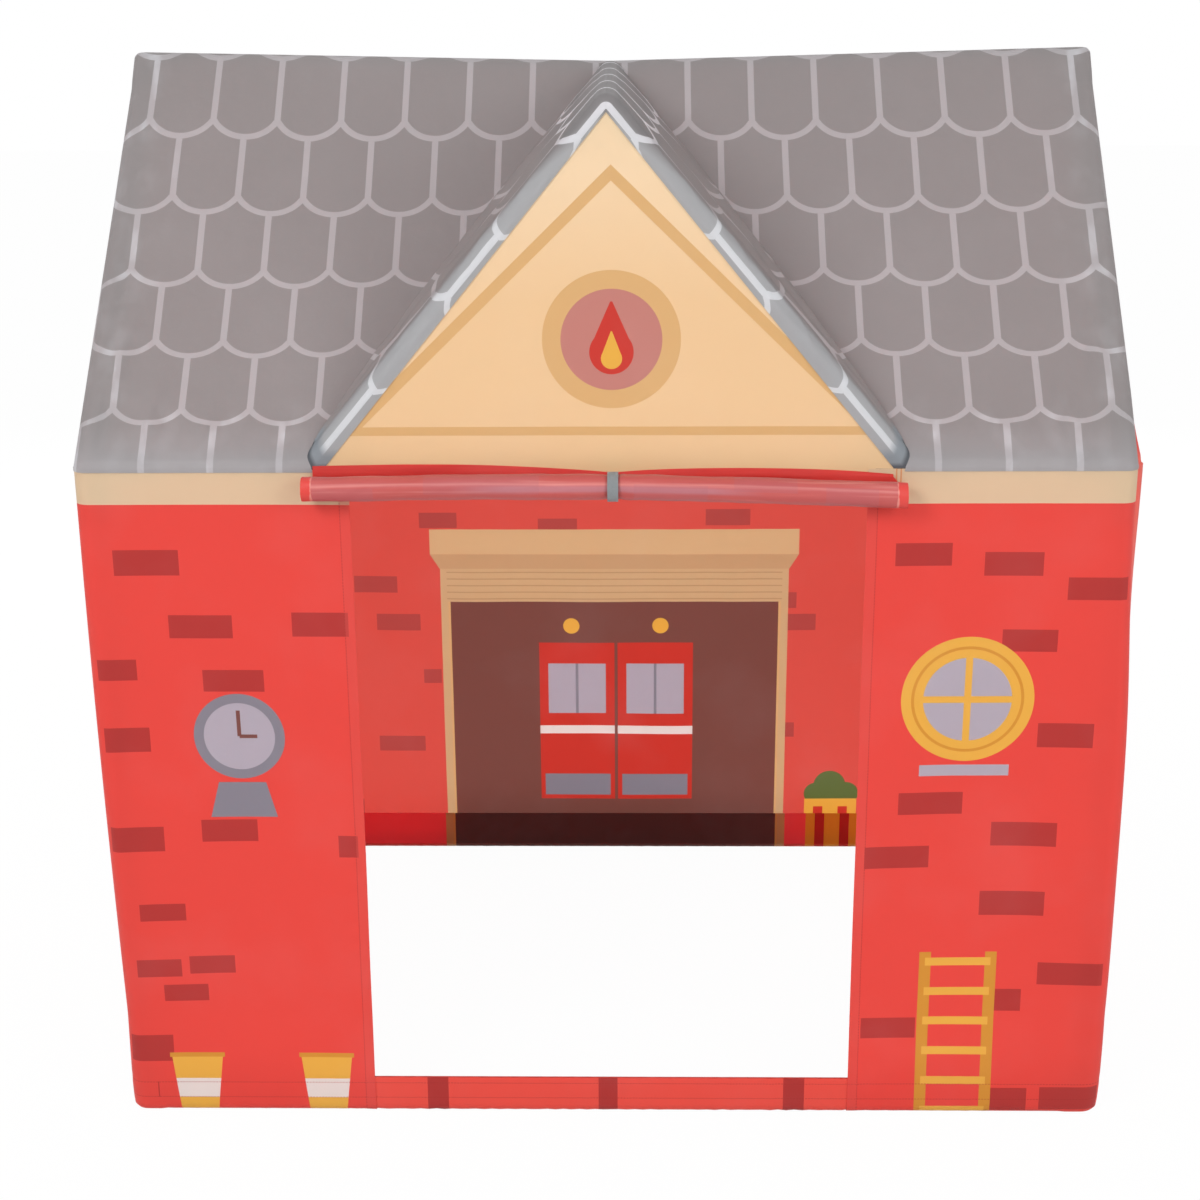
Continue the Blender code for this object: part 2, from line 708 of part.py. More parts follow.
def add_tie(name, material, parent):
    """The webbing tie: down behind the door cloth, under the roll and up in front of it."""
    inner = DOOR_ROLL_RADIUS + DOOR_FIT
    outer = inner + TIE_THICKNESS
    top = EAVE_HEIGHT - DOOR_CLOTH_FLANGE - DOOR_FIT
    back = FRONT - DOOR_FIT
    steps = ROLL_STEPS // 2
    angles = [math.pi * n / steps for n in range(steps + 1)]
    widen = back - TIE_THICKNESS - (ROLL_AXIS.y + inner)

    def around(radius):
        points = []
        for angle in angles:
            behind = widen * (1 + math.cos(angle)) / 2
            level = ROLL_AXIS.z - radius * math.sin(angle)
            points.append((ROLL_AXIS.y + radius * math.cos(angle) + behind, level))
        return points

    outside = [(back, top)] + around(outer) + [(ROLL_AXIS.y - outer, top)]
    inside = [(back - TIE_THICKNESS, top)] + around(inner) + [(ROLL_AXIS.y - inner, top)]
    add_profile(name, outside + inside[::-1], TIE_WIDTH, material, parent)


def clear_scene():
    for thing in list(bpy.data.objects):
        bpy.data.objects.remove(thing, do_unlink=True)


def build():
    clear_scene()
    tube_grey = finish("tube_grey", (0.62, 0.63, 0.64), 0.45)
    connector_black = finish("connector_black", (0.05, 0.05, 0.055), 0.5)
    cloth_red = finish("cloth_red", (0.78, 0.08, 0.06), 0.75)
    cloth_grey = finish("cloth_grey", (0.30, 0.28, 0.28), 0.75)
    cloth_cream = finish("cloth_cream", (0.85, 0.60, 0.33), 0.75)
    webbing_grey = finish("webbing_grey", (0.24, 0.26, 0.27), 0.85)

    frame = add_empty("frame")
    cover = add_empty("cover")
    door_hanger = add_empty("door_hanger", ROLL_AXIS)
    door_hanger.parent = cover

    for name in POLES:
        add_pole(name, tube_grey, frame)
    for name in CORNERS:
        add_connector(name, connector_black, frame)

    left_panel = (-SIDE_AXIS, -DOOR_EDGE, True, False)
    right_panel = (DOOR_EDGE, SIDE_AXIS, False, True)
    whole_wall = (-SIDE_AXIS, SIDE_AXIS, True, True)
    add_end_wall("front_panel_left", left_panel, FRONT_AXIS, FORWARD, cloth_red, cover)
    add_end_wall("front_panel_right", right_panel, FRONT_AXIS, FORWARD, cloth_red, cover)
    add_end_wall("wall_back", whole_wall, BACK_AXIS, -FORWARD, cloth_red, cover)
    add_side_wall("wall_left", -1, cloth_red, cover)
    add_side_wall("wall_right", 1, cloth_red, cover)
    add_sill("door_sill", cloth_red, cover)
    add_header("door_header", cloth_cream, cover)
    add_gable("dormer_gable", cloth_cream, cover)
    add_back_roof("roof_back", cloth_grey, cover)
    for side, sign in (("left", -1), ("right", 1)):
        dormer = Dormer(sign)
        add_front_roof(f"roof_front_{side}", dormer, cloth_grey, cover)
        add_dormer_roof(f"dormer_roof_{side}", dormer, cloth_grey, cover)

    add_door_cloth("door_cloth", cloth_red, door_hanger)
    add_roll("door_roll", cloth_red, door_hanger)
    add_tie("door_tie", webbing_grey, cover)
    print(f"least gap between the turns of the rolled door: {least_gap_in_roll() * 1000:.2f} mm")


build()
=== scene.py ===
# %% [markdown]
# # A fire station play tent, dressed for its picture
#
# The frame of tubes and the plain cover come from the CAD model, already in place and in metres.
# This notebook keeps the tubes and their connectors, gives them their plastics, and sews a finer
# cover over them: thin polyester that wraps round the tubes, sags a little between them, and
# carries a printed building. +X is to the right of someone who faces the doorway, +Y goes back.

# %% Load the frame
import functools
import math

import bmesh
import bpy
from mathutils import Matrix, Vector, noise


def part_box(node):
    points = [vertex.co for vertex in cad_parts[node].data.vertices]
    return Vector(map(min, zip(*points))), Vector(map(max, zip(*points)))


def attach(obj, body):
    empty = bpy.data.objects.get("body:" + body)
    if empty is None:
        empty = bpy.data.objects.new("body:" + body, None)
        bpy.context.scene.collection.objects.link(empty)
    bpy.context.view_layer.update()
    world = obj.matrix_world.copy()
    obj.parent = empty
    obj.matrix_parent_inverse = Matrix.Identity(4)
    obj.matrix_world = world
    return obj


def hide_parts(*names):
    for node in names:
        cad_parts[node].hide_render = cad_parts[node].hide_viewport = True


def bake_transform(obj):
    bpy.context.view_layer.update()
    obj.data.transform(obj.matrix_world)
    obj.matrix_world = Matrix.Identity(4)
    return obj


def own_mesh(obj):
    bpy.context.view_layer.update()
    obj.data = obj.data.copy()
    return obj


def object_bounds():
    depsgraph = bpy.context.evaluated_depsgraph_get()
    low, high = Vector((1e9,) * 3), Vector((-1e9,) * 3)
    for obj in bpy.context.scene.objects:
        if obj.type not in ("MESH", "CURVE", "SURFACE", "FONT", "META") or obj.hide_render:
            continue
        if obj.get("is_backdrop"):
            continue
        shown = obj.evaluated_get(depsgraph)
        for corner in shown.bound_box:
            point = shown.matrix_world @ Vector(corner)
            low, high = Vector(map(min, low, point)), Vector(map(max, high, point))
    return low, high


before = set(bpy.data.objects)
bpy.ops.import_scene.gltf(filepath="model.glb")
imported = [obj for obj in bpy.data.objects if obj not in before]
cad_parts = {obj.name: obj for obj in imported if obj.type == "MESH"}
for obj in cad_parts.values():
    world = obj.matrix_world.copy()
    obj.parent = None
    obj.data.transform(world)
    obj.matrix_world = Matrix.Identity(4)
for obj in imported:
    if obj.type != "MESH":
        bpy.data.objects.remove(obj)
cad_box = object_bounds()
print("CAD box:", [round(side, 4) for corner in cad_box for side in corner])

# %% [markdown]
# ## Camera
#
# The camera stands where the photograph's did. Its place and its three angles were fitted to the
# corners of the tent's frame, so the picture can be compared line by line. A rotation matrix is
# built from the direction that the camera looks in, which avoids guessing at Euler angles.

# %% Camera
CAMERA_PLACE = Vector((0.0265, -2.193, 1.153))
CAMERA_DOWN = math.radians(17.42)
CAMERA_TURN = math.radians(-1.07)
CAMERA_ROLL = math.radians(-0.37)
LENS = 59.8

level = math.cos(CAMERA_DOWN)
looking = Vector(
    (
        math.sin(CAMERA_TURN) * level,
        math.cos(CAMERA_TURN) * level,
        -math.sin(CAMERA_DOWN),
    )
)
right = looking.cross(Vector((0, 0, 1))).normalized()
above = right.cross(looking)
right, above = (
    right * math.cos(CAMERA_ROLL) + above * math.sin(CAMERA_ROLL),
    above * math.cos(CAMERA_ROLL) - right * math.sin(CAMERA_ROLL),
)
lens = bpy.data.cameras.new("photo_camera")
lens.lens = LENS
lens.sensor_width = 36
lens.clip_end = 50
camera = bpy.data.objects.new("photo_camera", lens)
turned = Matrix((right, above, -looking)).transposed().to_4x4()
camera.matrix_world = Matrix.Translation(CAMERA_PLACE) @ turned
bpy.context.collection.objects.link(camera)
bpy.context.scene.camera = camera
bpy.context.scene.view_settings.view_transform = "Standard"
print("camera at", tuple(CAMERA_PLACE))

# %% [markdown]
# ## Shader maths
#
# A printed cloth is a drawing made by sums: how far a point lies inside a disc, a bar or a brick.
# Each sum is a Math node. Writing hundreds of them by hand hides the drawing, so one small class
# stands for a number on its way through the nodes, and Python's own signs make the nodes.


# %% A number or colour inside a finish
class Signal:
    """A number or colour on its way through a finish's nodes."""

    def __init__(self, finish, socket):
        self.finish = finish
        self.socket = socket

    def math(self, operation, *others):
        return self.finish.math(operation, self, *others)

    def __add__(self, other):
        return self.math("ADD", other)

    def __sub__(self, other):
        return self.math("SUBTRACT", other)

    def __rsub__(self, other):
        return self.finish.math("SUBTRACT", other, self)

    def __mul__(self, other):
        return self.math("MULTIPLY", other)

    def __truediv__(self, other):
        return self.math("DIVIDE", other)

    def __mod__(self, other):
        return self.math("FLOORED_MODULO", other)

    def __gt__(self, other):
        return self.math("GREATER_THAN", other)

    def __lt__(self, other):
        return self.math("LESS_THAN", other)

    def __abs__(self):
        return self.math("ABSOLUTE")

    __radd__ = __add__
    __rmul__ = __mul__


class Finish:
    """A material, and the one method that every node of it comes from."""

    def __init__(self, name):
        self.material = bpy.data.materials.new(name)
        self.material.use_nodes = True
        self.tree = self.material.node_tree
        self.tree.nodes.clear()

    def node(self, kind, sockets=None, output=0, **settings):
        """A shader node. Its settings are set first, then its sockets' values or links."""
        made = self.tree.nodes.new("ShaderNode" + kind)
        for key, value in settings.items():
            setattr(made, key, value)
        for key, value in (sockets or {}).items():
            if isinstance(value, Signal):
                self.tree.links.new(value.socket, made.inputs[key])
            else:
                made.inputs[key].default_value = value
        return Signal(self, made.outputs[output]) if made.outputs else None

    def math(self, operation, *values):
        return self.node("Math", dict(enumerate(values)), operation=operation)

    def place(self):
        """A point of the cloth or plastic, in metres."""
        return self.node("TexCoord", output=3)

    def noise(self, place, scale, detail):
        return self.node("TexNoise", {"Vector": place, "Scale": scale, "Detail": detail})

    def bump(self, height, depth, **under):
        return self.node("Bump", {"Height": height, "Distance": depth, **under})

    def done(self, surface):
        self.node("OutputMaterial", {0: surface})
        return self.material


def finish_of(values):
    """The finish that these numbers and colours are on their way through."""
    return next(value.finish for value in values if isinstance(value, Signal))


def least(*values):
    finish = finish_of(values)
    return functools.reduce(lambda one, other: finish.math("MINIMUM", one, other), values)


def most(*values):
    finish = finish_of(values)
    return functools.reduce(lambda one, other: finish.math("MAXIMUM", one, other), values)


def mix(first, second, share):
    """One colour over another, where share says so."""
    finish = finish_of((share, first, second))
    return finish.node("Mix", {0: share, 6: first, 7: second}, 2, data_type="RGBA")


def paint(color, *layers):
    """Lays inks over a colour, one after another, each where a point lies inside its shape."""
    for layer, inside in layers:
        color = mix(color, layer, inside > 0)
    return color


# %% [markdown]
# ## Colours
#
# Inks are noted as they look on a screen, from 0 to 255. Light adds up on another scale, so each
# is turned into a linear colour before a shader gets it.


# %% Colours
def ink(red, green, blue):
    """A screen colour as a linear one."""
    linear = []
    for level in (red, green, blue):
        share = level / 255
        linear.append(share / 12.92 if share <= 0.04045 else ((share + 0.055) / 1.055) ** 2.4)
    return (*linear, 1)


WALL_RED = ink(238, 78, 68)
# The back wall's red, and its brick below, are paler copies of the front's: painted light for a
# wall lit from behind.
BACK_LIT_RED = ink(227, 93, 82)
# The hem flap's red and brown are deepened by a gamma in the back print: painted shade for a double
# layer that lets less light through.
FLAP_SHADE_RED = ink(253, 121, 129)
BRICK_RED = ink(192, 56, 52)
# Painted light: the back wall's brick, paler than the front's.
BACK_LIT_BRICK = ink(191, 82, 77)
THREAD_RED = ink(176, 48, 44)
CREAM = ink(244, 213, 168)
BAND_CREAM = ink(230, 205, 172)
TRIM_TAN = ink(229, 190, 132)
ROOF_GREY = ink(160, 154, 154)
SHINGLE_LINE = ink(192, 187, 189)
ROSE = ink(208, 142, 132)
FLAME_RED = ink(214, 62, 50)
YELLOW = ink(240, 190, 78)
DEEP_YELLOW = ink(222, 160, 56)
WHITE = ink(240, 234, 230)
STONE_GREY = ink(146, 144, 156)
PALE_LILAC = ink(190, 184, 196)
BAY_BROWN = ink(134, 82, 73)
# The hem flap's brown: painted shade, like the flap's red.
FLAP_SHADE_BROWN = ink(134, 69, 57)
FRAME_TAN = ink(219, 187, 142)
LEAF_GREEN = ink(104, 124, 66)
DOOR_PINK = ink(190, 86, 82)
DOOR_RED = ink(214, 62, 54)
WEBBING_GREY = ink(138, 143, 145)

# %% [markdown]
# ## Polyester
#
# The cover is a light taffeta: fine threads crossing, a faint gloss, and enough light coming
# through that the back wall glows behind the doorway. The shader mixes a glossy cloth with a
# Translucent one. A sheet has two faces, so light that comes through takes the ink's colour twice,
# and each face gets the square root of it. A weave too fine to see from a step away is only a
# bump, and a slow cloudiness in the colour keeps the print from looking like paint.

# %% Polyester
THREAD = 0.0008
WEAVE_DEPTH = 0.00004
CRINKLE_DEPTH = 0.0006
CLOUD_GREY = (0.86, 0.86, 0.88, 1)
GLOSS = 0.42


def sine_of(value, length):
    return (value * (2 * math.pi / length)).math("SINE")


def polyester(name, drawing, through=0.45, roughness=0.48, crinkle=CRINKLE_DEPTH, gloss=GLOSS):
    """A printed cloth. drawing gives its colour from the print's two distances, in metres."""
    finish = Finish(name)
    across = finish.node("SeparateXYZ", {0: finish.node("UVMap", uv_map="print")})
    up = Signal(finish, across.socket.node.outputs[1])
    place = finish.place()
    cloudy = finish.noise(place, 9, 3) - 0.5
    color = mix(drawing(across, up), CLOUD_GREY, cloudy * 0.10)
    weave = sine_of(across, THREAD) * sine_of(up, THREAD)
    fine = finish.bump(weave + finish.noise(place, 700, 1), WEAVE_DEPTH)
    bumped = finish.bump(finish.noise(place, 38, 4), crinkle, Normal=fine)
    surface = finish.node(
        "BsdfPrincipled",
        {
            "Base Color": color,
            "Roughness": roughness + cloudy * 0.12,
            "Metallic": 0,
            "Specular IOR Level": gloss,
            "Sheen Weight": 0.12 * gloss / GLOSS,
            "Sheen Roughness": 0.4,
            "Normal": bumped,
        },
    )
    once = finish.node("Gamma", {"Color": color, "Gamma": 0.5})
    glow = finish.node("BsdfTranslucent", {"Color": once, "Normal": bumped})
    return finish.done(finish.node("MixShader", {0: through, 1: surface, 2: glow}))


# %% [markdown]
# ## Shapes for the print
#
# Each shape says how far inside it a point lies: above zero is inside. Two shapes join with the
# larger of their values and cross with the smaller, and `> 0` makes the edge.


# %% Shapes
def bar(across, up, middle, height, width, tall):
    """A rectangle round (middle, height)."""
    return least(width / 2 - abs(across - middle), tall / 2 - abs(up - height))


def disc(across, up, middle, height, radius):
    aside = across - middle
    over = up - height
    return radius - (aside * aside + over * over).math("SQRT")


def taper(across, up, middle, bottom, top, half_bottom, half_top):
    """An upright shape whose half width changes evenly from bottom to top."""
    share = (up - bottom) / (top - bottom)
    half = half_bottom + share * (half_top - half_bottom)
    return least(half - abs(across - middle), up - bottom, top - up)


def ramp(value):
    """The value, held between 0 and 1."""
    return least(most(value, 0.0), 1.0)


def stitches(along, away):
    """A row of thread: short stitches along a line, where away is the distance from it."""
    thread = least(0.0005 - abs(away), 0.0011 - abs(along % 0.0032 - 0.0016))
    return (thread > 0) * 0.55


def drawn_out(across, up, detail):
    """Noise in long patches: the cloth's two distances come in multiplied."""
    spots = across.finish.node("CombineXYZ", {0: across, 1: up})
    return across.finish.noise(spots, 1, detail)


def bricks(across, up, places):
    """Many bricks at once. Their places and sizes are noted in millimetres."""
    return most(*(bar(across, up, *(size / 1000 for size in place)) for place in places))


# %% [markdown]
# ## Bricks, and the front panels' print
#
# The walls are plain red with single darker bricks here and there. Left of the doorway hangs a
# round clock on a bracket above two fire buckets. On the right there is a round window, and a
# ladder that leans on the wall. A cream band closes both panels under the eave.

# %% Front prints
LEFT_BRICKS = [
    (-452, 607, 64, 26), (-403, 541, 63, 24), (-284, 544, 56, 25), (-489, 496, 39, 22),
    (-374, 484, 61, 23), (-485, 421, 46, 26), (-388, 321, 57, 24), (-482, 313, 54, 27),
    (-462, 231, 47, 19), (-470, 167, 46, 20), (-415, 170, 47, 20), (-444, 138, 46, 19),
    (-484, 74, 45, 30), (-267, 304, 20, 24),
]  # fmt: skip
RIGHT_BRICKS = [
    (306, 615, 55, 23), (394, 605, 57, 24), (477, 580, 59, 23), (414, 526, 54, 23),
    (455, 426, 55, 26), (324, 352, 65, 24), (420, 318, 66, 26), (292, 293, 66, 24),
    (412, 241, 66, 27), (476, 162, 67, 25), (408, 131, 38, 25), (290, 99, 57, 23),
    (415, 18, 46, 25), (482, 19, 61, 25),
]  # fmt: skip
BAND_BOTTOM = 0.666
HEM_LINE = 0.0345
DOOR_LINE = 0.2595
DOOR_HEM_TOP = 0.690
CLOCK = (-0.372, 0.424)
WINDOW = (0.356, 0.464)


def bricked(across, up, places, wall=WALL_RED, brick=BRICK_RED):
    return paint(wall, (brick, bricks(across, up, places)))


def hemmed(color, across, up):
    """Thread along the bottom hem."""
    for height in (HEM_LINE, HEM_LINE / 2):
        color = mix(color, THREAD_RED, stitches(across, up - height))
    return color


def panel_hems(color, across, up):
    """The band under the eave, the bottom hem, and the turned edge beside the doorway, which is
    two layers thick and ends behind the rolled door."""
    color = hemmed(color, across, up)
    inward = least(DOOR_LINE - abs(across), DOOR_HEM_TOP - up)
    color = mix(color, ink(226, 92, 84), (inward > 0) * 0.35)
    return mix(color, THREAD_RED, stitches(up, inward))


def bucket(color, across, up, middle):
    pail = taper(across, up, middle, -0.02, 0.066, 0.017, 0.027)
    band = least(pail, 0.011 - abs(up - 0.028))
    rim = bar(across, up, middle, 0.066, 0.058, 0.005)
    return paint(color, (YELLOW, pail), (WHITE, band), (DEEP_YELLOW, rim))


def left_print(across, up):
    color = bricked(across, up, LEFT_BRICKS)
    color = bucket(color, across, up, -0.437)
    color = bucket(color, across, up, -0.300)
    face = disc(across, up, *CLOCK, 0.046)
    color = paint(
        color,
        (STONE_GREY, taper(across, up, CLOCK[0], 0.336, 0.374, 0.034, 0.024)),
        (STONE_GREY, face),
        (PALE_LILAC, face - 0.010),
        (BAY_BROWN, bar(across, up, -0.372, 0.438, 0.004, 0.028)),
        (BAY_BROWN, bar(across, up, -0.363, 0.424, 0.018, 0.004)),
        (BAND_CREAM, up - BAND_BOTTOM),
    )
    sleeve_end = bar(across, up, -0.480, 0.026, 0.0012, 0.018)
    color = mix(color, THREAD_RED, (sleeve_end > 0) * 0.8)
    return panel_hems(color, across, up)


def right_print(across, up):
    window = disc(across, up, *WINDOW, 0.066)
    crossing = least(abs(across - WINDOW[0]), abs(up - WINDOW[1]))
    from_ladder = abs(across - 0.360)
    rungs = 0.0045 - abs((up + 0.012) % 0.034 - 0.017)
    color = paint(
        bricked(across, up, RIGHT_BRICKS),
        (YELLOW, window),
        (DEEP_YELLOW, window - 0.010),
        (YELLOW, window - 0.013),
        (PALE_LILAC, window - 0.022),
        (YELLOW, least(window - 0.020, 0.0035 - crossing)),
        (PALE_LILAC, bar(across, up, 0.356, 0.388, 0.090, 0.012)),
        (DEEP_YELLOW, least(0.006 - abs(from_ladder - 0.034), 0.186 - up)),
        (YELLOW, least(rungs, 0.034 - from_ladder, 0.180 - up)),
        (BAND_CREAM, up - BAND_BOTTOM),
    )
    folds = least(0.0007 - abs(abs(across - 0.2785) - 0.0022), up - BAND_BOTTOM)
    color = mix(color, ink(226, 150, 92), (folds > 0) * 0.8)
    return panel_hems(color, across, up)


# %% [markdown]
# ## The back wall's print
#
# Through the doorway shows the printed bay: a stepped tan lintel on two slim jambs, a dark
# opening, and in it a pair of red doors with lilac windows under two lamps. A shrub in a yellow
# box stands to the right. The same ink shows on both sides of the cloth.

# %% Back print
BACK_BRICKS = [
    (-236, 463, 50, 21), (-77, 457, 52, 17), (149, 467, 59, 22), (-322, 374, 58, 23),
    (-293, 321, 59, 23), (-249, 244, 24, 20), (236, 352, 12, 22), (248, 321, 41, 23),
    (236, 165, 14, 21), (-294, 145, 63, 22), (-420, 560, 60, 23), (410, 540, 58, 23),
    (-440, 230, 55, 22), (430, 200, 60, 23), (60, 620, 58, 22), (-200, 600, 58, 22),
    (330, 640, 56, 22), (-380, 50, 58, 22),
]  # fmt: skip
LINTEL_TOP, LINTEL_BOTTOM, LINTEL_FOOT = 0.4505, 0.4160, 0.3960
BAY_MIDDLE = -0.002
BAY_TOP = 0.350
SHRUB_MIDDLE = 0.296
SHRUB_LEAVES = ((-0.021, 0.070, 0.016), (-0.002, 0.082, 0.022), (0.021, 0.070, 0.017))
FLAP_PRINT = -0.022
FLAP_SHADE_GAMMA = 1.45


def back_print(across, up):
    flap = up < FLAP_PRINT
    wall = mix(BACK_LIT_RED, FLAP_SHADE_RED, flap)
    aside = abs(across - BAY_MIDDLE)
    jambs = least(0.0065 - abs(aside - 0.2265), LINTEL_BOTTOM - up)
    soffit = least(0.2245 - aside, LINTEL_BOTTOM - up, up - BAY_TOP)
    slats = least(soffit, LINTEL_FOOT - up, 0.0008 - abs(up % 0.0092 - 0.0046))
    haunch = taper(across, up, BAY_MIDDLE, LINTEL_FOOT, LINTEL_BOTTOM, 0.2335, 0.2460)
    lintel = bar(across, up, BAY_MIDDLE, 0.4333, 0.4920, LINTEL_TOP - LINTEL_BOTTOM)
    color = paint(
        bricked(across, up, BACK_BRICKS, wall, BACK_LIT_BRICK),
        (mix(BAY_BROWN, FLAP_SHADE_BROWN, flap), least(0.2225 - aside, BAY_TOP - up)),
        (FRAME_TAN, jambs),
        (TRIM_TAN, least(jambs, 0.0015 - abs(aside - 0.2215))),
        (FRAME_TAN, soffit),
        (ink(198, 162, 119), slats),
        (ink(212, 175, 131), haunch),
        (ink(226, 193, 146), lintel),
    )

    from_middle = abs(across)
    doors = least(0.104 - from_middle, from_middle - 0.002, 0.292 - up, up - 0.062)
    panes = bar(from_middle, up, 0.053, 0.226, 0.078, 0.072)
    color = paint(
        color,
        (FLAME_RED, doors),
        (PALE_LILAC, panes),
        (STONE_GREY, least(panes, 0.0018 - abs(from_middle - 0.053))),
        (WHITE, least(doors, 0.006 - abs(up - 0.166))),
        (STONE_GREY, least(doors - 0.006, 0.100 - up)),
        (YELLOW, disc(from_middle, up, 0.060, 0.316, 0.011)),
    )

    for beside, height, radius in SHRUB_LEAVES:
        leaf = disc(across, up, SHRUB_MIDDLE + beside, height, radius)
        color = paint(color, (LEAF_GREEN, leaf))
    from_shrub = abs(across - SHRUB_MIDDLE)
    box = least(0.036 - from_shrub, 0.062 - up)
    planks = least(box, 0.0065 - abs(from_shrub - 0.017), 0.050 - up)
    color = paint(color, (YELLOW, box), (FLAME_RED, planks))
    # Over the hem flap the colours are deepened by a gamma: painted shade.
    flap_shaded = color.finish.node("Gamma", {"Color": color, "Gamma": FLAP_SHADE_GAMMA})
    return hemmed(mix(color, flap_shaded, flap), across, up)


# %% [markdown]
# ## Side walls, sill and cream pieces
#
# The side walls carry bricks only, and a strip of painted light beside the front corner. The sill
# has three short ones. The dormer's gable is cream with a tan trim band that follows its outline,
# and a medallion: a tan ring round a dusty rose disc with a plain flame. Painted light makes the
# gable lighter towards its top.

# %% Side, sill and gable prints
SIDE_BRICKS = [
    (-220, 620, 58, 23), (60, 640, 60, 24), (250, 585, 58, 23), (-80, 540, 60, 23),
    (150, 470, 62, 24), (-250, 430, 56, 23), (-30, 370, 60, 24), (280, 330, 58, 23),
    (-180, 270, 60, 23), (110, 230, 62, 24), (-60, 140, 58, 23), (240, 110, 60, 23),
    (-260, 90, 56, 22), (40, 760, 60, 23), (-110, 810, 56, 22), (130, 850, 54, 22),
    (10, 940, 56, 22),
]  # fmt: skip
SILL_BRICKS = [(-183, 18, 22, 90), (-3, 18, 20, 90), (193, 18, 22, 90)]
TRIM_BASE, TRIM_TOP, TRIM_HALF = 0.7335, 0.987, 0.262
TRIM_WIDTH = 0.0105
MEDALLION = (0.004, 0.825)
RING_WIDTH = 0.0175


def side_print(across, up):
    """Bricks, and beside the front corner a lighter strip: painted light on the wall's front edge.
    """
    painted_light_strip = ramp((-0.300 - across) / 0.012)
    color = mix(bricked(across, up, SIDE_BRICKS), ink(250, 128, 112), painted_light_strip * 0.7)
    return hemmed(color, across, up)


def sill_print(across, up):
    return hemmed(bricked(across, up, SILL_BRICKS, ink(244, 92, 78)), across, up)


def plain_cream(across, up):
    return CREAM


def flame_shape(across, up, low, radius, shoulder, tip, half, end):
    """A drop: a disc under a taper. Heights count from the medallion's middle."""
    middle, height = MEDALLION
    return most(
        disc(across, up, middle, height + low, radius),
        taper(across, up, middle, height + shoulder, height + tip, half, end),
    )


def gable_print(across, up):
    rise = TRIM_TOP - TRIM_BASE
    slant = math.hypot(rise, TRIM_HALF)
    edge = ((TRIM_TOP - up) * TRIM_HALF - abs(across - MEDALLION[0]) * rise) / slant
    inside = least(edge, (up - TRIM_BASE) * 1.25)
    # Painted light: the cream is lighter towards the top and in the strip outside the trim.
    painted_light = least(most((up - 0.86) / 0.20, 0.0), 0.6) + (edge < 0) * 0.22
    ring = disc(across, up, *MEDALLION, 0.0655)
    return paint(
        mix(CREAM, ink(250, 228, 194), painted_light),
        (TRIM_TAN, least(inside, TRIM_WIDTH - inside)),
        (TRIM_TAN, ring),
        (ROSE, ring - RING_WIDTH),
        (FLAME_RED, flame_shape(across, up, -0.012, 0.021, -0.008, 0.036, 0.0205, 0.001)),
        (YELLOW, flame_shape(across, up, -0.018, 0.010, -0.016, 0.008, 0.0098, 0.0006)),
    )


# %% [markdown]
# ## Shingles
#
# The roof is printed with round-bottomed shingles, each row half a shingle along from the next.
# In each row the outline is two straight sides above and a shallow arc below, so one cell of the
# pattern is enough, and the remainder of a division repeats it. The rows lie a little closer
# together towards the eave, and the two halves of the front slope mirror each other.

# %% Shingle print
SHINGLE_WIDTH = 0.0668
SHINGLE_ROW = 0.090
SHINGLE_ARC = 0.020
SHINGLE_LINE_WIDTH = 0.0066
SHINGLE_PHASE = 0.149
ROOF_END = 0.440
DORMER_ROW = 0.095
DORMER_PHASE = 0.9546


def shingles(aside, row):
    """The outline of shingles: aside is a distance along the row, row counts rows downwards."""
    whole = row.math("FLOOR")
    height = (1 - (row - whole)) * SHINGLE_ROW - SHINGLE_LINE_WIDTH / 2
    shifted = aside / SHINGLE_WIDTH + (whole % 2) * 0.5
    from_middle = abs((shifted % 1) - 0.5) * SHINGLE_WIDTH
    half = SHINGLE_WIDTH / 2
    radius = (half**2 + SHINGLE_ARC**2) / (2 * SHINGLE_ARC)
    drop = height - radius
    arc = abs((from_middle * from_middle + drop * drop).math("SQRT") - radius)
    low = height < SHINGLE_ARC
    away = low * arc + (1 - low) * (half - from_middle)
    return away < SHINGLE_LINE_WIDTH / 2


def roofed(across, up, aside):
    """The slope's print, with painted glints: lighter patches near its ends and eave, brightest on
    the shingle lines.
    """
    row = 4.637 - 13.522 * up + 4.423 * up * up
    lines = shingles(aside + 10 * SHINGLE_WIDTH, row + 11)
    color = mix(ROOF_GREY, SHINGLE_LINE, lines)
    patches = drawn_out(across * 34, up * 22, 2)
    edges = most(abs(across) - ROOF_END, 0.085 - up, 0.0)
    painted_glint = ramp((patches - 0.50) * 5) * ramp(edges * 22)
    color = mix(color, ink(228, 230, 234), painted_glint * (0.10 + 0.50 * lines))
    # A lighter band along the eave, where the cloth bends over the pole: painted highlight.
    return mix(color, (0.62, 0.61, 0.64, 1), most(1 - up / 0.05, 0.0) * 0.30)


def shingle_print(across, up):
    return roofed(across, up, abs(across) - SHINGLE_PHASE)


def back_shingle_print(across, up):
    return roofed(across, up, across)


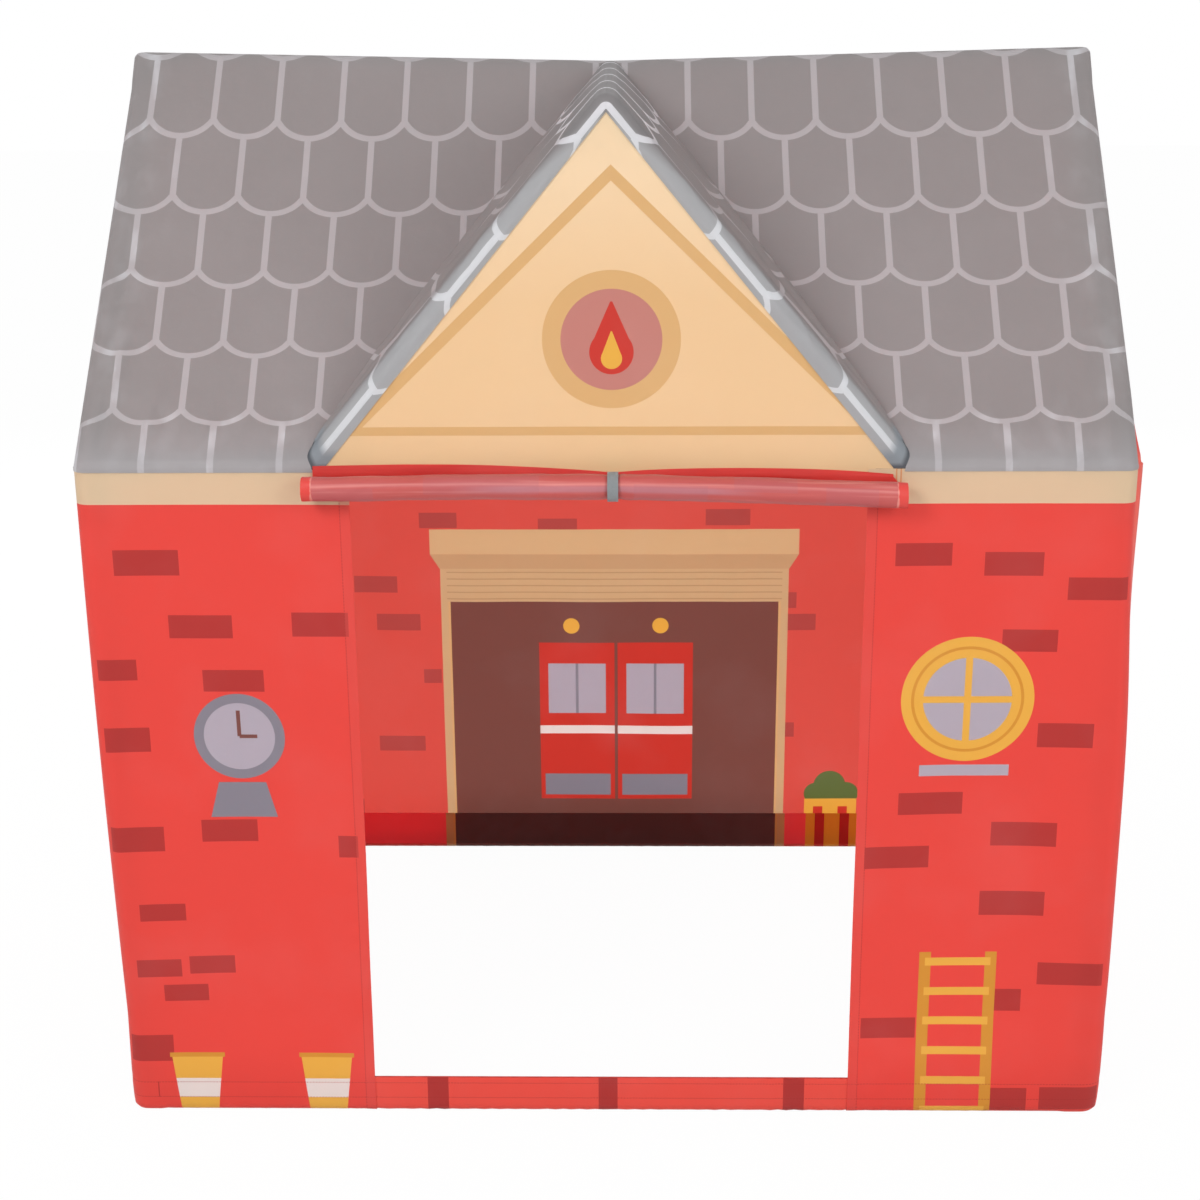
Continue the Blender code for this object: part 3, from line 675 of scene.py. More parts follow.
def dormer_print(across, up):
    """Along the rafter, where the cloth lies tight over the tube, a lighter band is painted: a
    painted highlight. It narrows and ends towards the apex, where the grey turns darker and the
    lines lighter."""
    lines = shingles(across + DORMER_PHASE, 20 - most(up, 0.032) / DORMER_ROW)
    high = ramp((up - 0.35) / 0.05)
    loose = mix(ROOF_GREY, ink(150, 146, 147), high)
    loose = mix(loose, mix(SHINGLE_LINE, ink(232, 230, 234), high), lines)
    # tight is the colour of the painted highlight along the tube.
    tight = mix(ink(182, 182, 184), ink(224, 225, 228), lines)
    slack = ramp((up - 0.33) / 0.08)
    highlight_share = ramp((0.038 - 0.017 * slack - across) / 0.013)
    color = mix(loose, tight, highlight_share * ramp((0.440 - up) / 0.014))
    # The foot turns grey and its tip dark: painted shade in the crease at the foot.
    color = mix(color, ink(156, 162, 168), ramp((0.026 - up) / 0.010))
    return mix(color, ink(86, 88, 94), ramp((0.0075 - up) / 0.005) * 0.8)


# %% [markdown]
# ## Door, webbing and plastics
#
# The door is rolled with its inside out, where the red ink shows only as a dull pink, and its two
# long hems stay a strong red. The tie is a grey ribbed tape. The tubes are pale grey plastic, and
# the connectors are black, with the fine grain of a mould.

# %% Door, webbing and plastic finishes
ROLL_HALF = 0.2885
ROLL_MIDDLE = -0.0035
SIDE_HEM = 0.0095
TUBE_GREY = ink(196, 198, 200)
CONNECTOR_BLACK = ink(46, 47, 50)
WEAR_GREY = (0.5, 0.5, 0.5, 1)
SHOWN_BRICKS = [
    (-252, 30, 58, 26), (-120, 46, 110, 22), (60, 34, 70, 24), (150, 52, 60, 22),
    (232, 36, 50, 24),
]  # fmt: skip


def roll_print(across, up):
    streaks = drawn_out(across * 6, up * 120, 3)
    color = mix(DOOR_PINK, ink(172, 66, 70), (streaks - 0.40) * 1.5)
    color = mix(color, ink(222, 150, 142), (0.42 - streaks) * 3.0)
    # A duller lilac band along the middle part of the roll's front.
    lilac_band = ramp((0.150 - abs(across)) / 0.05) * ramp(1.6 - abs(up - 0.0405) / 0.0030)
    color = mix(color, ink(182, 116, 124), lilac_band * 0.8)
    # Darker and redder on the roll's lower side: painted shade.
    color = mix(color, ink(188, 70, 66), ramp((0.038 - up) / 0.004) * 0.45)
    # A lighter line along the roll's upper front: painted highlight.
    painted_highlight = ramp(1 - abs(up - 0.0458 - (streaks - 0.5) * 0.006) / 0.0022)
    color = mix(color, ink(228, 154, 148), painted_highlight * 0.4)
    shown = bricks(across, up, SHOWN_BRICKS) > 0
    color = mix(color, ink(164, 96, 106), shown * 0.24)
    in_hem = abs(across - ROLL_MIDDLE) - ROLL_HALF + SIDE_HEM
    fringe = 0.0008 + (streaks - 0.5) * 0.004 - abs(in_hem)
    return mix(paint(color, (DOOR_RED, in_hem)), ink(226, 150, 138), (fringe > 0) * 0.6)


def door_print(across, up):
    return mix(ink(206, 40, 38), ink(234, 74, 64), drawn_out(across * 14, up * 160, 2))


def solid(finish, color, roughness, bumped, **more):
    """The shader of a finish that lets no light through."""
    sockets = {"Base Color": color, "Roughness": roughness, "Metallic": 0, "Normal": bumped}
    return finish.done(finish.node("BsdfPrincipled", {**sockets, **more}))


def webbing():
    finish = Finish("webbing")
    place = finish.place()
    ribs = sine_of(finish.node("SeparateXYZ", {0: place}), 0.0011)
    speckle = finish.noise(place, 900, 2)
    color = mix(WEBBING_GREY, ink(96, 100, 104), speckle * 0.5)
    bumped = finish.bump(ribs + speckle, 0.0002)
    return solid(finish, color, 0.8, bumped, **{"Sheen Weight": 0.3})


def plastic(name, color, roughness, grain):
    """Moulded or drawn plastic: a fine grain in the bump, and wear that dulls the gloss."""
    finish = Finish(name)
    place = finish.place()
    wear = finish.noise(place, 14, 5)
    shade = mix(color, WEAR_GREY, (wear - 0.45) * 0.12)
    bumped = finish.bump(finish.noise(place, grain, 2), 0.00006)
    return solid(finish, shade, roughness + (wear - 0.5) * 0.2, bumped)


front_cloths = {
    "left": polyester("front_left_cloth", left_print),
    "right": polyester("front_right_cloth", right_print),
}
back_cloth = polyester("back_cloth", back_print, through=0.55)
side_cloth = polyester("side_cloth", side_print)
sill_cloth = polyester("sill_cloth", sill_print)
cream_cloth = polyester("cream_cloth", plain_cream)
gable_cloth = polyester("gable_cloth", gable_print)
glossy = {"roughness": 0.42, "crinkle": 0.0011}
roof_cloth = polyester("roof_cloth", shingle_print, **glossy)
back_roof_cloth = polyester("back_roof_cloth", back_shingle_print, **glossy)
dormer_cloth = polyester("dormer_cloth", dormer_print, roughness=0.42, crinkle=0.0010, gloss=0.16)
roll_cloth = polyester("roll_cloth", roll_print, through=0.12, roughness=0.40, crinkle=0.0010)
curtain_cloth = polyester("curtain_cloth", door_print)
tie_webbing = webbing()
tube_plastic = plastic("tube_plastic", TUBE_GREY, 0.42, 500)
connector_plastic = plastic("connector_plastic", CONNECTOR_BLACK, 0.55, 1400)
print("finishes:", len(bpy.data.materials))

# %% [markdown]
# ## Tubes and connectors
#
# These CAD pieces already have their true shape, so they only get their plastics.

# %% Plastics on the CAD pieces
CONNECTOR_WORDS = ("corner", "foot", "ridge_end", "tee", "apex")
TUBE_WORDS = ("pole", "post", "rail", "rafter")
dressed = 0
for name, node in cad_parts.items():
    is_connector = any(word in name for word in CONNECTOR_WORDS)
    if is_connector or any(word in name for word in TUBE_WORDS):
        dressed += 1
        for slot in node.material_slots:
            slot.material = connector_plastic if is_connector else tube_plastic
print("tubes and connectors:", dressed)

# %% [markdown]
# ## Sizes of the cover
#
# The cover's outer faces are read from the CAD pieces that it replaces. The poles' axes lie one
# wrap inside them: the tube's radius, the socket over it, a little air and the cloth.

# %% Sizes
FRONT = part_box("front_panel_left")[0][1]
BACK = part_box("wall_back")[1][1]
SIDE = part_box("wall_right")[1][0]
WRAP = 0.0140
SIDE_AXIS = SIDE - WRAP
FRONT_AXIS = FRONT + WRAP
BACK_AXIS = BACK - WRAP
MIDDLE = (FRONT + BACK) / 2
FLOOR_AXIS = WRAP + 0.0006
EAVE_HEIGHT = 0.701
SEAM_AIR = 0.0004
RIDGE_AXIS = 1.0764 - WRAP
RIDGE_SAG = 0.0115
APEX_AXIS = 1.050 - WRAP
FOOT_AXIS = 0.284
GABLE_HALF = 0.2735
GABLE_TOP = 1.034
DOOR_EDGE = 0.2495
HEADER_DEPTH = 0.0285
HEM_HEIGHT = 0.038
HEM_START = 0.016
CLOTH = 0.0005
LAP = 0.003
OVER = 0.0006
LEFT = Vector((-1, 0, 0))
FORWARD = Vector((0, -1, 0))
UP = Vector((0, 0, 1))
print("front, back, side:", round(FRONT, 4), round(BACK, 4), round(SIDE, 4))

# %% [markdown]
# ## Sums that many pieces share
#
# Cloth is described with few kinds of curve: something that rises and sinks back between two
# seams, something that dies out beside a seam, and Blender's own noise, which gives the same
# undulations on every run.


# %% Shared sums
def clamped(value):
    """The value, held between 0 and 1."""
    return min(max(value, 0), 1)


def hump(share):
    """Rises from 0 to 1 and sinks back as the share goes from 0 to 1."""
    return math.sin(math.pi * share)


def bell(away, width):
    """1 at no distance, dying out on both sides."""
    return math.exp(-((away / width) ** 2))


def noise_at(x, y, z):
    return noise.noise(Vector((x, y, z)))


def upward(vector):
    return -vector if vector.z < 0 else vector


def round_post(direction, angle):
    """A direction out of the front or back, turned round a corner post."""
    return math.cos(angle) * direction - math.sin(angle) * LEFT


# %% [markdown]
# ## Sewing a sheet
#
# Every panel starts as a flat grid. A function says where each crossing of the grid goes, which
# way the cloth faces there, and which point of the print it carries. Then the sheet is extruded
# by its own thickness, so that it has real edges. Keeping one method for all panels makes their
# edges meet, because two panels that share a seam are placed by the same sums. The cover hangs a
# little wider than its frame: at the left most at the eave, and at the right half way down. The
# same sum widens every panel, and leaves the sleeves round the floor rails where the rails are.


# %% Sew one sheet
WIDER_FROM = 0.30
WIDER_LEFT = 0.0096
WIDER_ABOVE_RAIL = 0.045
SHARP = math.radians(50)


def wider_left(height):
    if height < EAVE_HEIGHT:
        return WIDER_LEFT * math.sin(math.pi / 2 * min(height / 0.60, 1))
    return WIDER_LEFT * (1 - 0.77 * (height - EAVE_HEIGHT) / (RIDGE_AXIS - EAVE_HEIGHT))


def wider_right(height):
    over_eave = clamped((height - EAVE_HEIGHT) / 0.06)
    return 0.0011 + 0.0100 * math.exp(-(((height - 0.27) / 0.27) ** 4)) + 0.0014 * over_eave


def widened(point):
    """How far along X the cover's loose ends move a point. Below the floor rail's top only the
    outer side of the sleeve moves."""
    aside = clamped((abs(point.x) - WIDER_FROM) / (SIDE - WIDER_FROM)) ** 1.5
    outer = clamped((abs(point.x) - SIDE_AXIS + WRAP) / (2 * WRAP))
    above = clamped((point.z - WIDER_ABOVE_RAIL) / 0.06)
    share = outer + (aside - outer) * above
    return share * wider_right(point.z) if point.x > 0 else -share * wider_left(point.z)


def sew(name, columns, rows, place, material, keep=None):
    """A sheet of cloth from a grid. place gives, for a column and a row, the point on the outer
    face, the way out of the cloth, and the print's two distances. keep drops some cells."""
    bm = bmesh.new()
    bmesh.ops.create_grid(bm, x_segments=columns, y_segments=rows, size=1)
    outward = bm.verts.layers.float_vector.new("outward")
    printed = bm.verts.layers.float_vector.new("printed")
    cells = {}
    for vert in bm.verts:
        cells[vert] = (
            round((vert.co.x + 1) / 2 * columns),
            round((vert.co.y + 1) / 2 * rows),
        )
    if keep:
        spare = [
            face
            for face in bm.faces
            if not keep(*(min(cells[vert][n] for vert in face.verts) for n in (0, 1)))
        ]
        bmesh.ops.delete(bm, geom=spare, context="FACES")
    for vert in bm.verts:
        point, out, across, up = place(*cells[vert])
        moved = widened(point)
        vert.co = (point.x + moved, point.y, point.z)
        vert[outward] = out
        vert[printed] = (across + moved, up, 0)
    bmesh.ops.remove_doubles(bm, verts=bm.verts, dist=1e-6)
    lining = bmesh.ops.extrude_face_region(bm, geom=bm.faces[:], use_keep_orig=True)
    for item in lining["geom"]:
        if isinstance(item, bmesh.types.BMVert):
            item.co -= CLOTH * item[outward]
    bmesh.ops.recalc_face_normals(bm, faces=bm.faces)
    print_map = bm.loops.layers.uv.new("print")
    for face in bm.faces:
        for loop in face.loops:
            loop[print_map].uv = loop.vert[printed].xy
    mesh = bpy.data.meshes.new(name)
    bm.to_mesh(mesh)
    bm.free()
    mesh.shade_smooth()
    mesh.set_sharp_from_angle(angle=SHARP)
    mesh.materials.append(material)
    sheet = bpy.data.objects.new(name, mesh)
    bpy.context.collection.objects.link(sheet)
    return sheet


def hang(sheet, node, body="root"):
    """Puts a finished sheet in the place of its CAD node and prints how many faces it has."""
    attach(sheet, body)
    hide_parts(node)
    print(f"{sheet.name}: {len(sheet.data.polygons)} faces")


# %% [markdown]
# ## How the cloth gives
#
# A sheet held along its edges sinks a little in the middle. Light polyester also keeps soft
# undulations, which show in its gloss, and small puckers where thread draws a seam together.


# %% Slack, puckers and grooves
def bow(across, up, depth):
    """How far a sheet held on four edges sinks, at shares across and up it."""
    return depth * hump(clamped(across)) * hump(clamped(up))


def drift(x, y, seed, size, depth):
    """Soft undulations of about this size."""
    return depth * noise_at(x / size, y / size, seed)


def groove(away, width, depth):
    """A stitched line draws the cloth in, and the cloth rises again on both sides."""
    return depth * bell(away, width)


def pucker(along, away, seed, depth, reach=0.022, length=0.019):
    """Small waves square to a seam, which die out away from it."""
    wave = math.sin(2 * math.pi * along / length + 2.2 * noise_at(along / 0.04, seed, 0))
    strength = 0.5 + noise_at(along / 0.07, seed, 4)
    return depth * strength * wave * math.exp(-abs(away) / reach)


# %% [markdown]
# ## Front and back walls
#
# A wall wraps round the corner posts, hangs flat between the eave and the floor, turns under the
# floor rail and ends in a short flap inside. The hem leaves the corners free for the connectors'
# feet. Each doorway edge is turned back and stitched, which shows as a shallow line.

# %% Walls at the front and the back
SPACING = 0.007
CORNER_TURNS = 7
HEM_TURNS = 10
FLAP_ROWS = 4
BELOW_HUNG = HEM_TURNS + FLAP_ROWS
SKIRT_TURN = 2
SKIRT_OUT = 0.0140
SKIRT_AIR = 0.0010
FLARE = 0.0030
FLARE_TOP = 0.11
FLARE_REACH = 0.08
BACK_FLAP_TOP = 0.052
HEM_STITCH = 0.010
WALL_BOW = 0.006
MOST_BULGE = 0.003
INNER_LAYER_END = 0.016


def turning(first, last, share):
    """A direction part of the way from one to another."""
    if first.angle(last) < 1e-6:
        return first.copy()
    return first.slerp(last, share)


def post_to_post(first, last, wraps):
    """Columns: a place along X, and the angle turned round a corner post there."""
    columns = []
    if wraps[0]:
        columns += [(first, -math.pi / 2 * (1 - n / CORNER_TURNS)) for n in range(CORNER_TURNS)]
    count = math.ceil((last - first) / SPACING)
    columns += [(first + (last - first) * n / count, 0) for n in range(count + 1)]
    if wraps[1]:
        columns += [(last, math.pi / 2 * (n + 1) / CORNER_TURNS) for n in range(CORNER_TURNS)]
    return columns


def wall_rows(top, flap_top=HEM_HEIGHT):
    """Rows: a height on the pole plane, the angle turned under the floor rail, and the print."""
    count = math.ceil((top - FLOOR_AXIS) / SPACING)
    rows = [(top + (FLOOR_AXIS - top) * n / count, 0, None) for n in range(count + 1)]
    rows += [(FLOOR_AXIS, math.pi * (n + 1) / HEM_TURNS, None) for n in range(HEM_TURNS)]
    for n in range(FLAP_ROWS):
        rise = (flap_top - FLOOR_AXIS) * (n + 1) / FLAP_ROWS
        rows.append((FLOOR_AXIS + rise, math.pi, rise))
    return rows


def squarer(angle, power):
    """How much further out than a plain wrap the cloth stands where its turn is sharper."""
    return (abs(math.cos(angle)) ** power + abs(math.sin(angle)) ** power) ** (-1 / power)


def flared(height, under):
    """How much further out the loose hem stands than the wall above it."""
    if height > FLARE_TOP:
        return 0
    return FLARE * min((FLARE_TOP - height) / FLARE_REACH, 1) * max(math.cos(under), 0) ** 0.5


def under_rail(height, under, out, skirted):
    """How far out and how far down the cloth lies below the floor rail's axis. At a corner it
    hangs down to the floor as a short skirt round the connector's foot."""
    if skirted and under > SKIRT_TURN * math.pi / HEM_TURNS:
        return SKIRT_OUT * out - (FLOOR_AXIS - SKIRT_AIR) * UP, out
    direction = math.cos(under) * out - math.sin(under) * UP
    return WRAP * squarer(under, 8) * direction + flared(height, under) * out, direction


def printed_height(height, under, flap):
    """How far up the print a row lies, along the cloth."""
    if flap is not None:
        return FLOOR_AXIS - WRAP * math.pi - flap
    return height - WRAP * under


def freedom(height, under):
    """How far up a wall a row lies, as a share, and how freely it can move there."""
    share = (height - FLOOR_AXIS) / (EAVE_HEIGHT - FLOOR_AXIS)
    return share, 0 if under else hump(clamped(share)) ** 0.5


def beside_doorway(inward, height, free, seed):
    """How far the turned and stitched edge beside the doorway sinks."""
    sink = groove(inward - HEM_STITCH, 0.0014, 0.0008) - 0.0004 * (inward < HEM_STITCH)
    sink += 0.0014 * math.sin(height / 0.043 + seed) * math.exp(-inward / 0.018) * free
    return sink + free * pucker(height, inward - HEM_STITCH, seed + 6, 0.0013, 0.010, 0.016)


def sew_wall(name, first, last, wraps, depth_axis, out, door_edge, seed, material):
    columns = post_to_post(first, last, wraps)
    flap_top = BACK_FLAP_TOP if door_edge is None else HEM_HEIGHT
    rows = wall_rows(EAVE_HEIGHT - SEAM_AIR, flap_top)
    hung = len(rows) - 1 - BELOW_HUNG

    def skirted(column):
        across = columns[column][0]
        near_first = wraps[0] and across < first + HEM_START
        near_last = wraps[1] and across > last - HEM_START
        return near_first or near_last

    def place(column, row):
        across, angle = columns[column]
        height, under, flap = rows[row]
        share, free = freedom(height, under)
        free *= math.cos(angle) ** 4
        sink = 0
        if not under:
            sink = bow((across - first) / (last - first), share, WALL_BOW)
            sink += groove(height - 0.034, 0.0016, 0.0007)
        long_drift = drift(across, height * 0.35, seed + 9, 0.05, 0.0012)
        sink += free * (drift(across, height, seed, 0.16, 0.0035) + long_drift)
        if not flap:
            sink += 0.4 * pucker(across, height - 0.030, seed, 0.0009)
            sink += 0.6 * free * pucker(across, EAVE_HEIGHT - height, seed + 3, 0.0010)
        if door_edge is not None:
            sink += beside_doorway(abs(across - door_edge), height, free, seed)
        offset, direction = under_rail(height, under, out, skirted(column))
        direction = round_post(direction, angle)
        offset = offset.dot(out) * round_post(out, angle) + offset.z * UP
        sink = max(sink, -MOST_BULGE)
        point = Vector((across, depth_axis, height)) + offset - sink * direction
        return point, direction, across + WRAP * angle, printed_height(height, under, flap)

    def keep(column, row):
        """The sleeve stops at the corners, and its inner layer before the doorway."""
        if door_edge is not None and row >= hung + HEM_TURNS - 1:
            if abs(columns[column][0] - door_edge) < INNER_LAYER_END:
                return False
        return row <= hung + SKIRT_TURN or not (skirted(column) or skirted(column + 1))

    return sew(name, len(columns) - 1, len(rows) - 1, place, material, keep)


for side, sign, seed in (("left", -1, 1.3), ("right", 1, 2.7)):
    first, last = sorted((sign * SIDE_AXIS, sign * DOOR_EDGE))
    panel = sew_wall(
        f"front_{side}_panel",
        first,
        last,
        (sign < 0, sign > 0),
        FRONT_AXIS,
        FORWARD,
        sign * DOOR_EDGE,
        seed,
        front_cloths[side],
    )
    hang(
        panel,
        f"front_panel_{side}",
    )
back_panel = sew_wall(
    "back_panel", -SIDE_AXIS, SIDE_AXIS, (True, True), BACK_AXIS, -FORWARD, None, 4.1, back_cloth
)
hang(
    back_panel,
    "wall_back",
)

# %% [markdown]
# ## Side walls
#
# Each side wall and its gable end are one pentagon, flat against the frame's side. Its upper rows
# shorten towards the ridge, so the grid folds into a point there. At the right front eave the
# cloth bulges out.

# %% Side walls
GABLE_ROWS = 40
CORNER_BULGES = {-1: 0.0, 1: 0.0100}
BULGE_ABOVE, BULGE_BELOW, BULGE_BACK = 0.10, 0.16, 0.040


def corner_bulge(sign, height, behind, under_peak):
    """How far the cloth stands out at the front eave. It starts at the seams with their
    neighbours: behind counts from the front, under_peak from the slope."""
    reach = BULGE_ABOVE if height > EAVE_HEIGHT else BULGE_BELOW
    corner = bell(height - EAVE_HEIGHT, reach) * math.exp(-behind / BULGE_BACK)
    corner *= 1 - math.exp(-behind / 0.0035)
    if under_peak is not None:
        corner *= 1 - math.exp(-under_peak / 0.005)
    return CORNER_BULGES[sign] * corner


def sew_side(name, sign, seed):
    out = Vector((sign, 0, 0))
    near, far = FRONT_AXIS, BACK_AXIS
    count = math.ceil((far - near) / SPACING)
    columns = [near + (far - near) * n / count for n in range(count + 1)]
    rows = wall_rows(EAVE_HEIGHT - SEAM_AIR)
    hung = len(rows) - 1 - BELOW_HUNG

    def place(column, row):
        depth = columns[column]
        across = (depth - near) / (far - near)
        flap = under_peak = None
        under = 0
        if row < GABLE_ROWS:
            peak = EAVE_HEIGHT + (RIDGE_AXIS - EAVE_HEIGHT) * (1 - abs(2 * across - 1))
            height = peak + (EAVE_HEIGHT - peak) * row / GABLE_ROWS
            rise = peak - EAVE_HEIGHT
            under_peak = peak - height
            free = hump((height - EAVE_HEIGHT) / rise) if rise > 0.002 else 0
            sink = bow(across, 0.5, 0.003) * free
        else:
            height, under, flap = rows[row - GABLE_ROWS]
            share, free = freedom(height, under)
            sink = 0 if under else bow(across, share, WALL_BOW)
        edges = hump(across) ** 0.5 if 0 < across < 1 else 0
        sink += free * edges * drift(depth, height, seed, 0.15, 0.0035)
        sink -= corner_bulge(sign, height, depth - near, under_peak)
        skirted = not near + HEM_START < depth < far - HEM_START
        offset, direction = under_rail(height, under, out, skirted)
        point = Vector((sign * SIDE_AXIS, depth, height)) + offset - (OVER + sink) * direction
        return point, direction, depth - widened(point), printed_height(height, under, flap)

    def keep(column, row):
        ends = (columns[column], columns[column + 1])
        inside = near + HEM_START < ends[0] and ends[1] < far - HEM_START
        return inside or row <= GABLE_ROWS + hung + SKIRT_TURN

    return sew(name, len(columns) - 1, GABLE_ROWS + len(rows) - 1, place, side_cloth, keep)


for side, sign in (("left", -1), ("right", 1)):
    hang(
        sew_side(f"{side}_side", sign, 6.2 + sign),
        f"wall_{side}",
    )

# %% [markdown]
# ## Roof
#
# The roof cloth starts on the eave pole, runs up the slope, over the ridge and round the rafters
# at both ends. Sleeves hold the rafters, and their stitching shows as a line beside each one. The
# ridge sags a little towards the middle, where the dormer's ridge pole joins it.

# %% Back roof
SLOPE_SPACING = 0.0075
SLEEVE = 0.0245
SQUARE_FROM = 0.93
ROOF_BOW = 0.004
CREASES = [
    (0.030, 0.105, 0.0090, 0.045, 0.0045),
    (0.066, 0.052, 0.0080, 0.028, 0.0036),
    (0.115, 0.030, 0.0120, 0.030, 0.0030),
]


def ridge_at(across):
    drop = RIDGE_SAG * (1 - abs(across) / SIDE_AXIS)
    return Vector((across, MIDDLE, RIDGE_AXIS - drop))


slope_length = (ridge_at(SIDE_AXIS) - Vector((SIDE_AXIS, FRONT_AXIS, EAVE_HEIGHT))).length
SLOPE_ROWS = math.ceil(slope_length / SLOPE_SPACING)


def squared(angle, share):
    """How much further out than a plain wrap the cloth stands at the ridge's end, where it is
    pulled over the connector and makes a sharper corner."""
    return squarer(angle, 2 + 3 * clamped((share - SQUARE_FROM) / 0.07))


def corner_folds(across, climbed):
    """Creases that run up from the roof's front corners: each has its place from the end and up
    the slope, its half width, its half length and its height."""
    from_end = SIDE - abs(across)
    strength = 1.0 if across > 0 else 0.75
    lift = 0
    for beside, height, half, reach, tall in CREASES:
        along = climbed - height
        lift += tall * bell(from_end - beside - 0.12 * along, half) * bell(along, reach)
    return -strength * lift


def roof_give(across, climbed, free, seed):
    """How far the roof cloth sinks: slack, soft dents, sleeve stitching and puckers."""
    from_sleeve = SIDE - abs(across) - SLEEVE
    sink = free * drift(across, climbed, seed, 0.17, 0.0050)
    sink += free * drift(across, climbed, seed + 11, 0.075, 0.0014)
    sink += free * drift(across * 0.5, climbed, seed + 5, 0.045, 0.0010)
    stitched = min(1, free * 3)
    sink += stitched * groove(from_sleeve, 0.0020, 0.0012)
    sink += stitched * pucker(climbed, from_sleeve, seed, 0.0008)
    seamed = min(1, free * 4)
    sink += seamed * pucker(across, slope_length - climbed, seed + 2, 0.0016, 0.030, 0.031)
    sink += seamed * pucker(across, climbed, seed + 7, 0.0012, 0.020, 0.027)
    return sink


def sew_back_roof():
    eave_end = Vector((SIDE_AXIS, BACK_AXIS, EAVE_HEIGHT))
    normal = upward((ridge_at(SIDE_AXIS) - eave_end).cross(LEFT).normalized())
    columns = post_to_post(-SIDE_AXIS, SIDE_AXIS, (True, True))
    top = CORNER_TURNS + SLOPE_ROWS

    def place(column, row):
        across, angle = columns[column]
        share = (row - CORNER_TURNS) / SLOPE_ROWS
        if share < 0:
            direction = turning(-FORWARD, normal, row / CORNER_TURNS)
        elif share > 1:
            direction = turning(normal, UP, (row - top) / CORNER_TURNS)
        else:
            direction = normal.copy()
        held = clamped(share)
        axis = Vector((across, BACK_AXIS, EAVE_HEIGHT)).lerp(ridge_at(across), held)
        climbed = slope_length * share
        free = hump(held) * math.cos(angle) ** 4
        sink = bow(across / SIDE_AXIS / 2 + 0.5, held, ROOF_BOW)
        sink += roof_give(across, climbed, free, 12.0)
        direction = round_post(direction, angle)
        lift = OVER if row < 2 else 0
        point = axis + (WRAP * squared(angle, share) + lift - sink) * direction
        if row == 0:
            point -= LAP * UP
        return point, direction, across + WRAP * angle, climbed + WRAP

    return sew("back_roof", len(columns) - 1, top + CORNER_TURNS, place, back_roof_cloth)


hang(
    sew_back_roof(),
    "roof_back",
)

# %% [markdown]
# ## Dormer
#
# The dormer's cloth and the main slope meet in a valley. The valley starts round the dormer's foot
# and climbs to the ridge. Both sheets take their shared edge from the same functions, so they meet
# whatever their grids do. One side is worked out on the left and mirrored to the right.


# %% Where the dormer meets the roof
class Dormer:
    """One side of the front roof, worked out on the left. sign mirrors it."""

    def __init__(self, sign):
        self.sign = sign
        self.foot = Vector((-FOOT_AXIS, FRONT_AXIS, EAVE_HEIGHT))
        self.apex = Vector((0, FRONT_AXIS, APEX_AXIS))
        self.tee = ridge_at(0)
        self.rafter = (self.apex - self.foot).normalized()
        to_tee = self.tee - self.foot
        self.main_normal = upward(to_tee.cross(LEFT).normalized())
        self.dormer_normal = upward((self.apex - self.foot).cross(to_tee).normalized())
        self.main_turn = FORWARD.angle(self.main_normal)
        self.dormer_turn = FORWARD.angle(self.dormer_normal)
        rest = self.dormer_turn - self.main_turn
        shares = [n / CORNER_TURNS for n in range(CORNER_TURNS + 1)]
        self.turns = [self.main_turn * share for share in shares[:-1]]
        self.turns += [self.main_turn + rest * share for share in shares]
        self.from_up = UP.angle(self.main_normal)
        self.valley_start = self.foot_point(self.dormer_turn)
        self.valley_end = self.tee_point(self.from_up)

    def around_rafter(self, angle):
        return turning(FORWARD, self.dormer_normal, angle / self.dormer_turn)

    def shift_on_rafter(self, angle):
        """How far up the rafter, in wraps, its cloth starts at this turn."""
        direction = self.around_rafter(angle)
        if angle <= self.main_turn:
            level = LEFT.angle(-self.rafter)
            return math.tan(level / 2) * -direction.dot(self.rafter.cross(FORWARD).normalized())
        return (1 - direction.dot(self.main_normal)) / self.rafter.dot(self.main_normal)

    def rafter_start(self, angle):
        return self.foot + WRAP * self.shift_on_rafter(angle) * self.rafter

    def foot_point(self, angle):
        return self.rafter_start(angle) + WRAP * self.around_rafter(angle)

    def tee_point(self, angle):
        side = math.sin(angle)
        return self.tee + WRAP * Vector((-side, -side, math.cos(angle)))

    def valley(self, share):
        return self.valley_start.lerp(self.valley_end, share)

    def mirrored(self, point, out):
        flip = Vector((-self.sign, 1, 1))
        return point * flip, out * flip


# %% [markdown]
# ## Front roof
#
# Each half of the front slope is a grid between the gable end and the valley. Its print follows
# the slope, not the grid: a point's place on the print is how far up the slope it lies.

# %% Front roof
ROOF_COLUMNS = 60


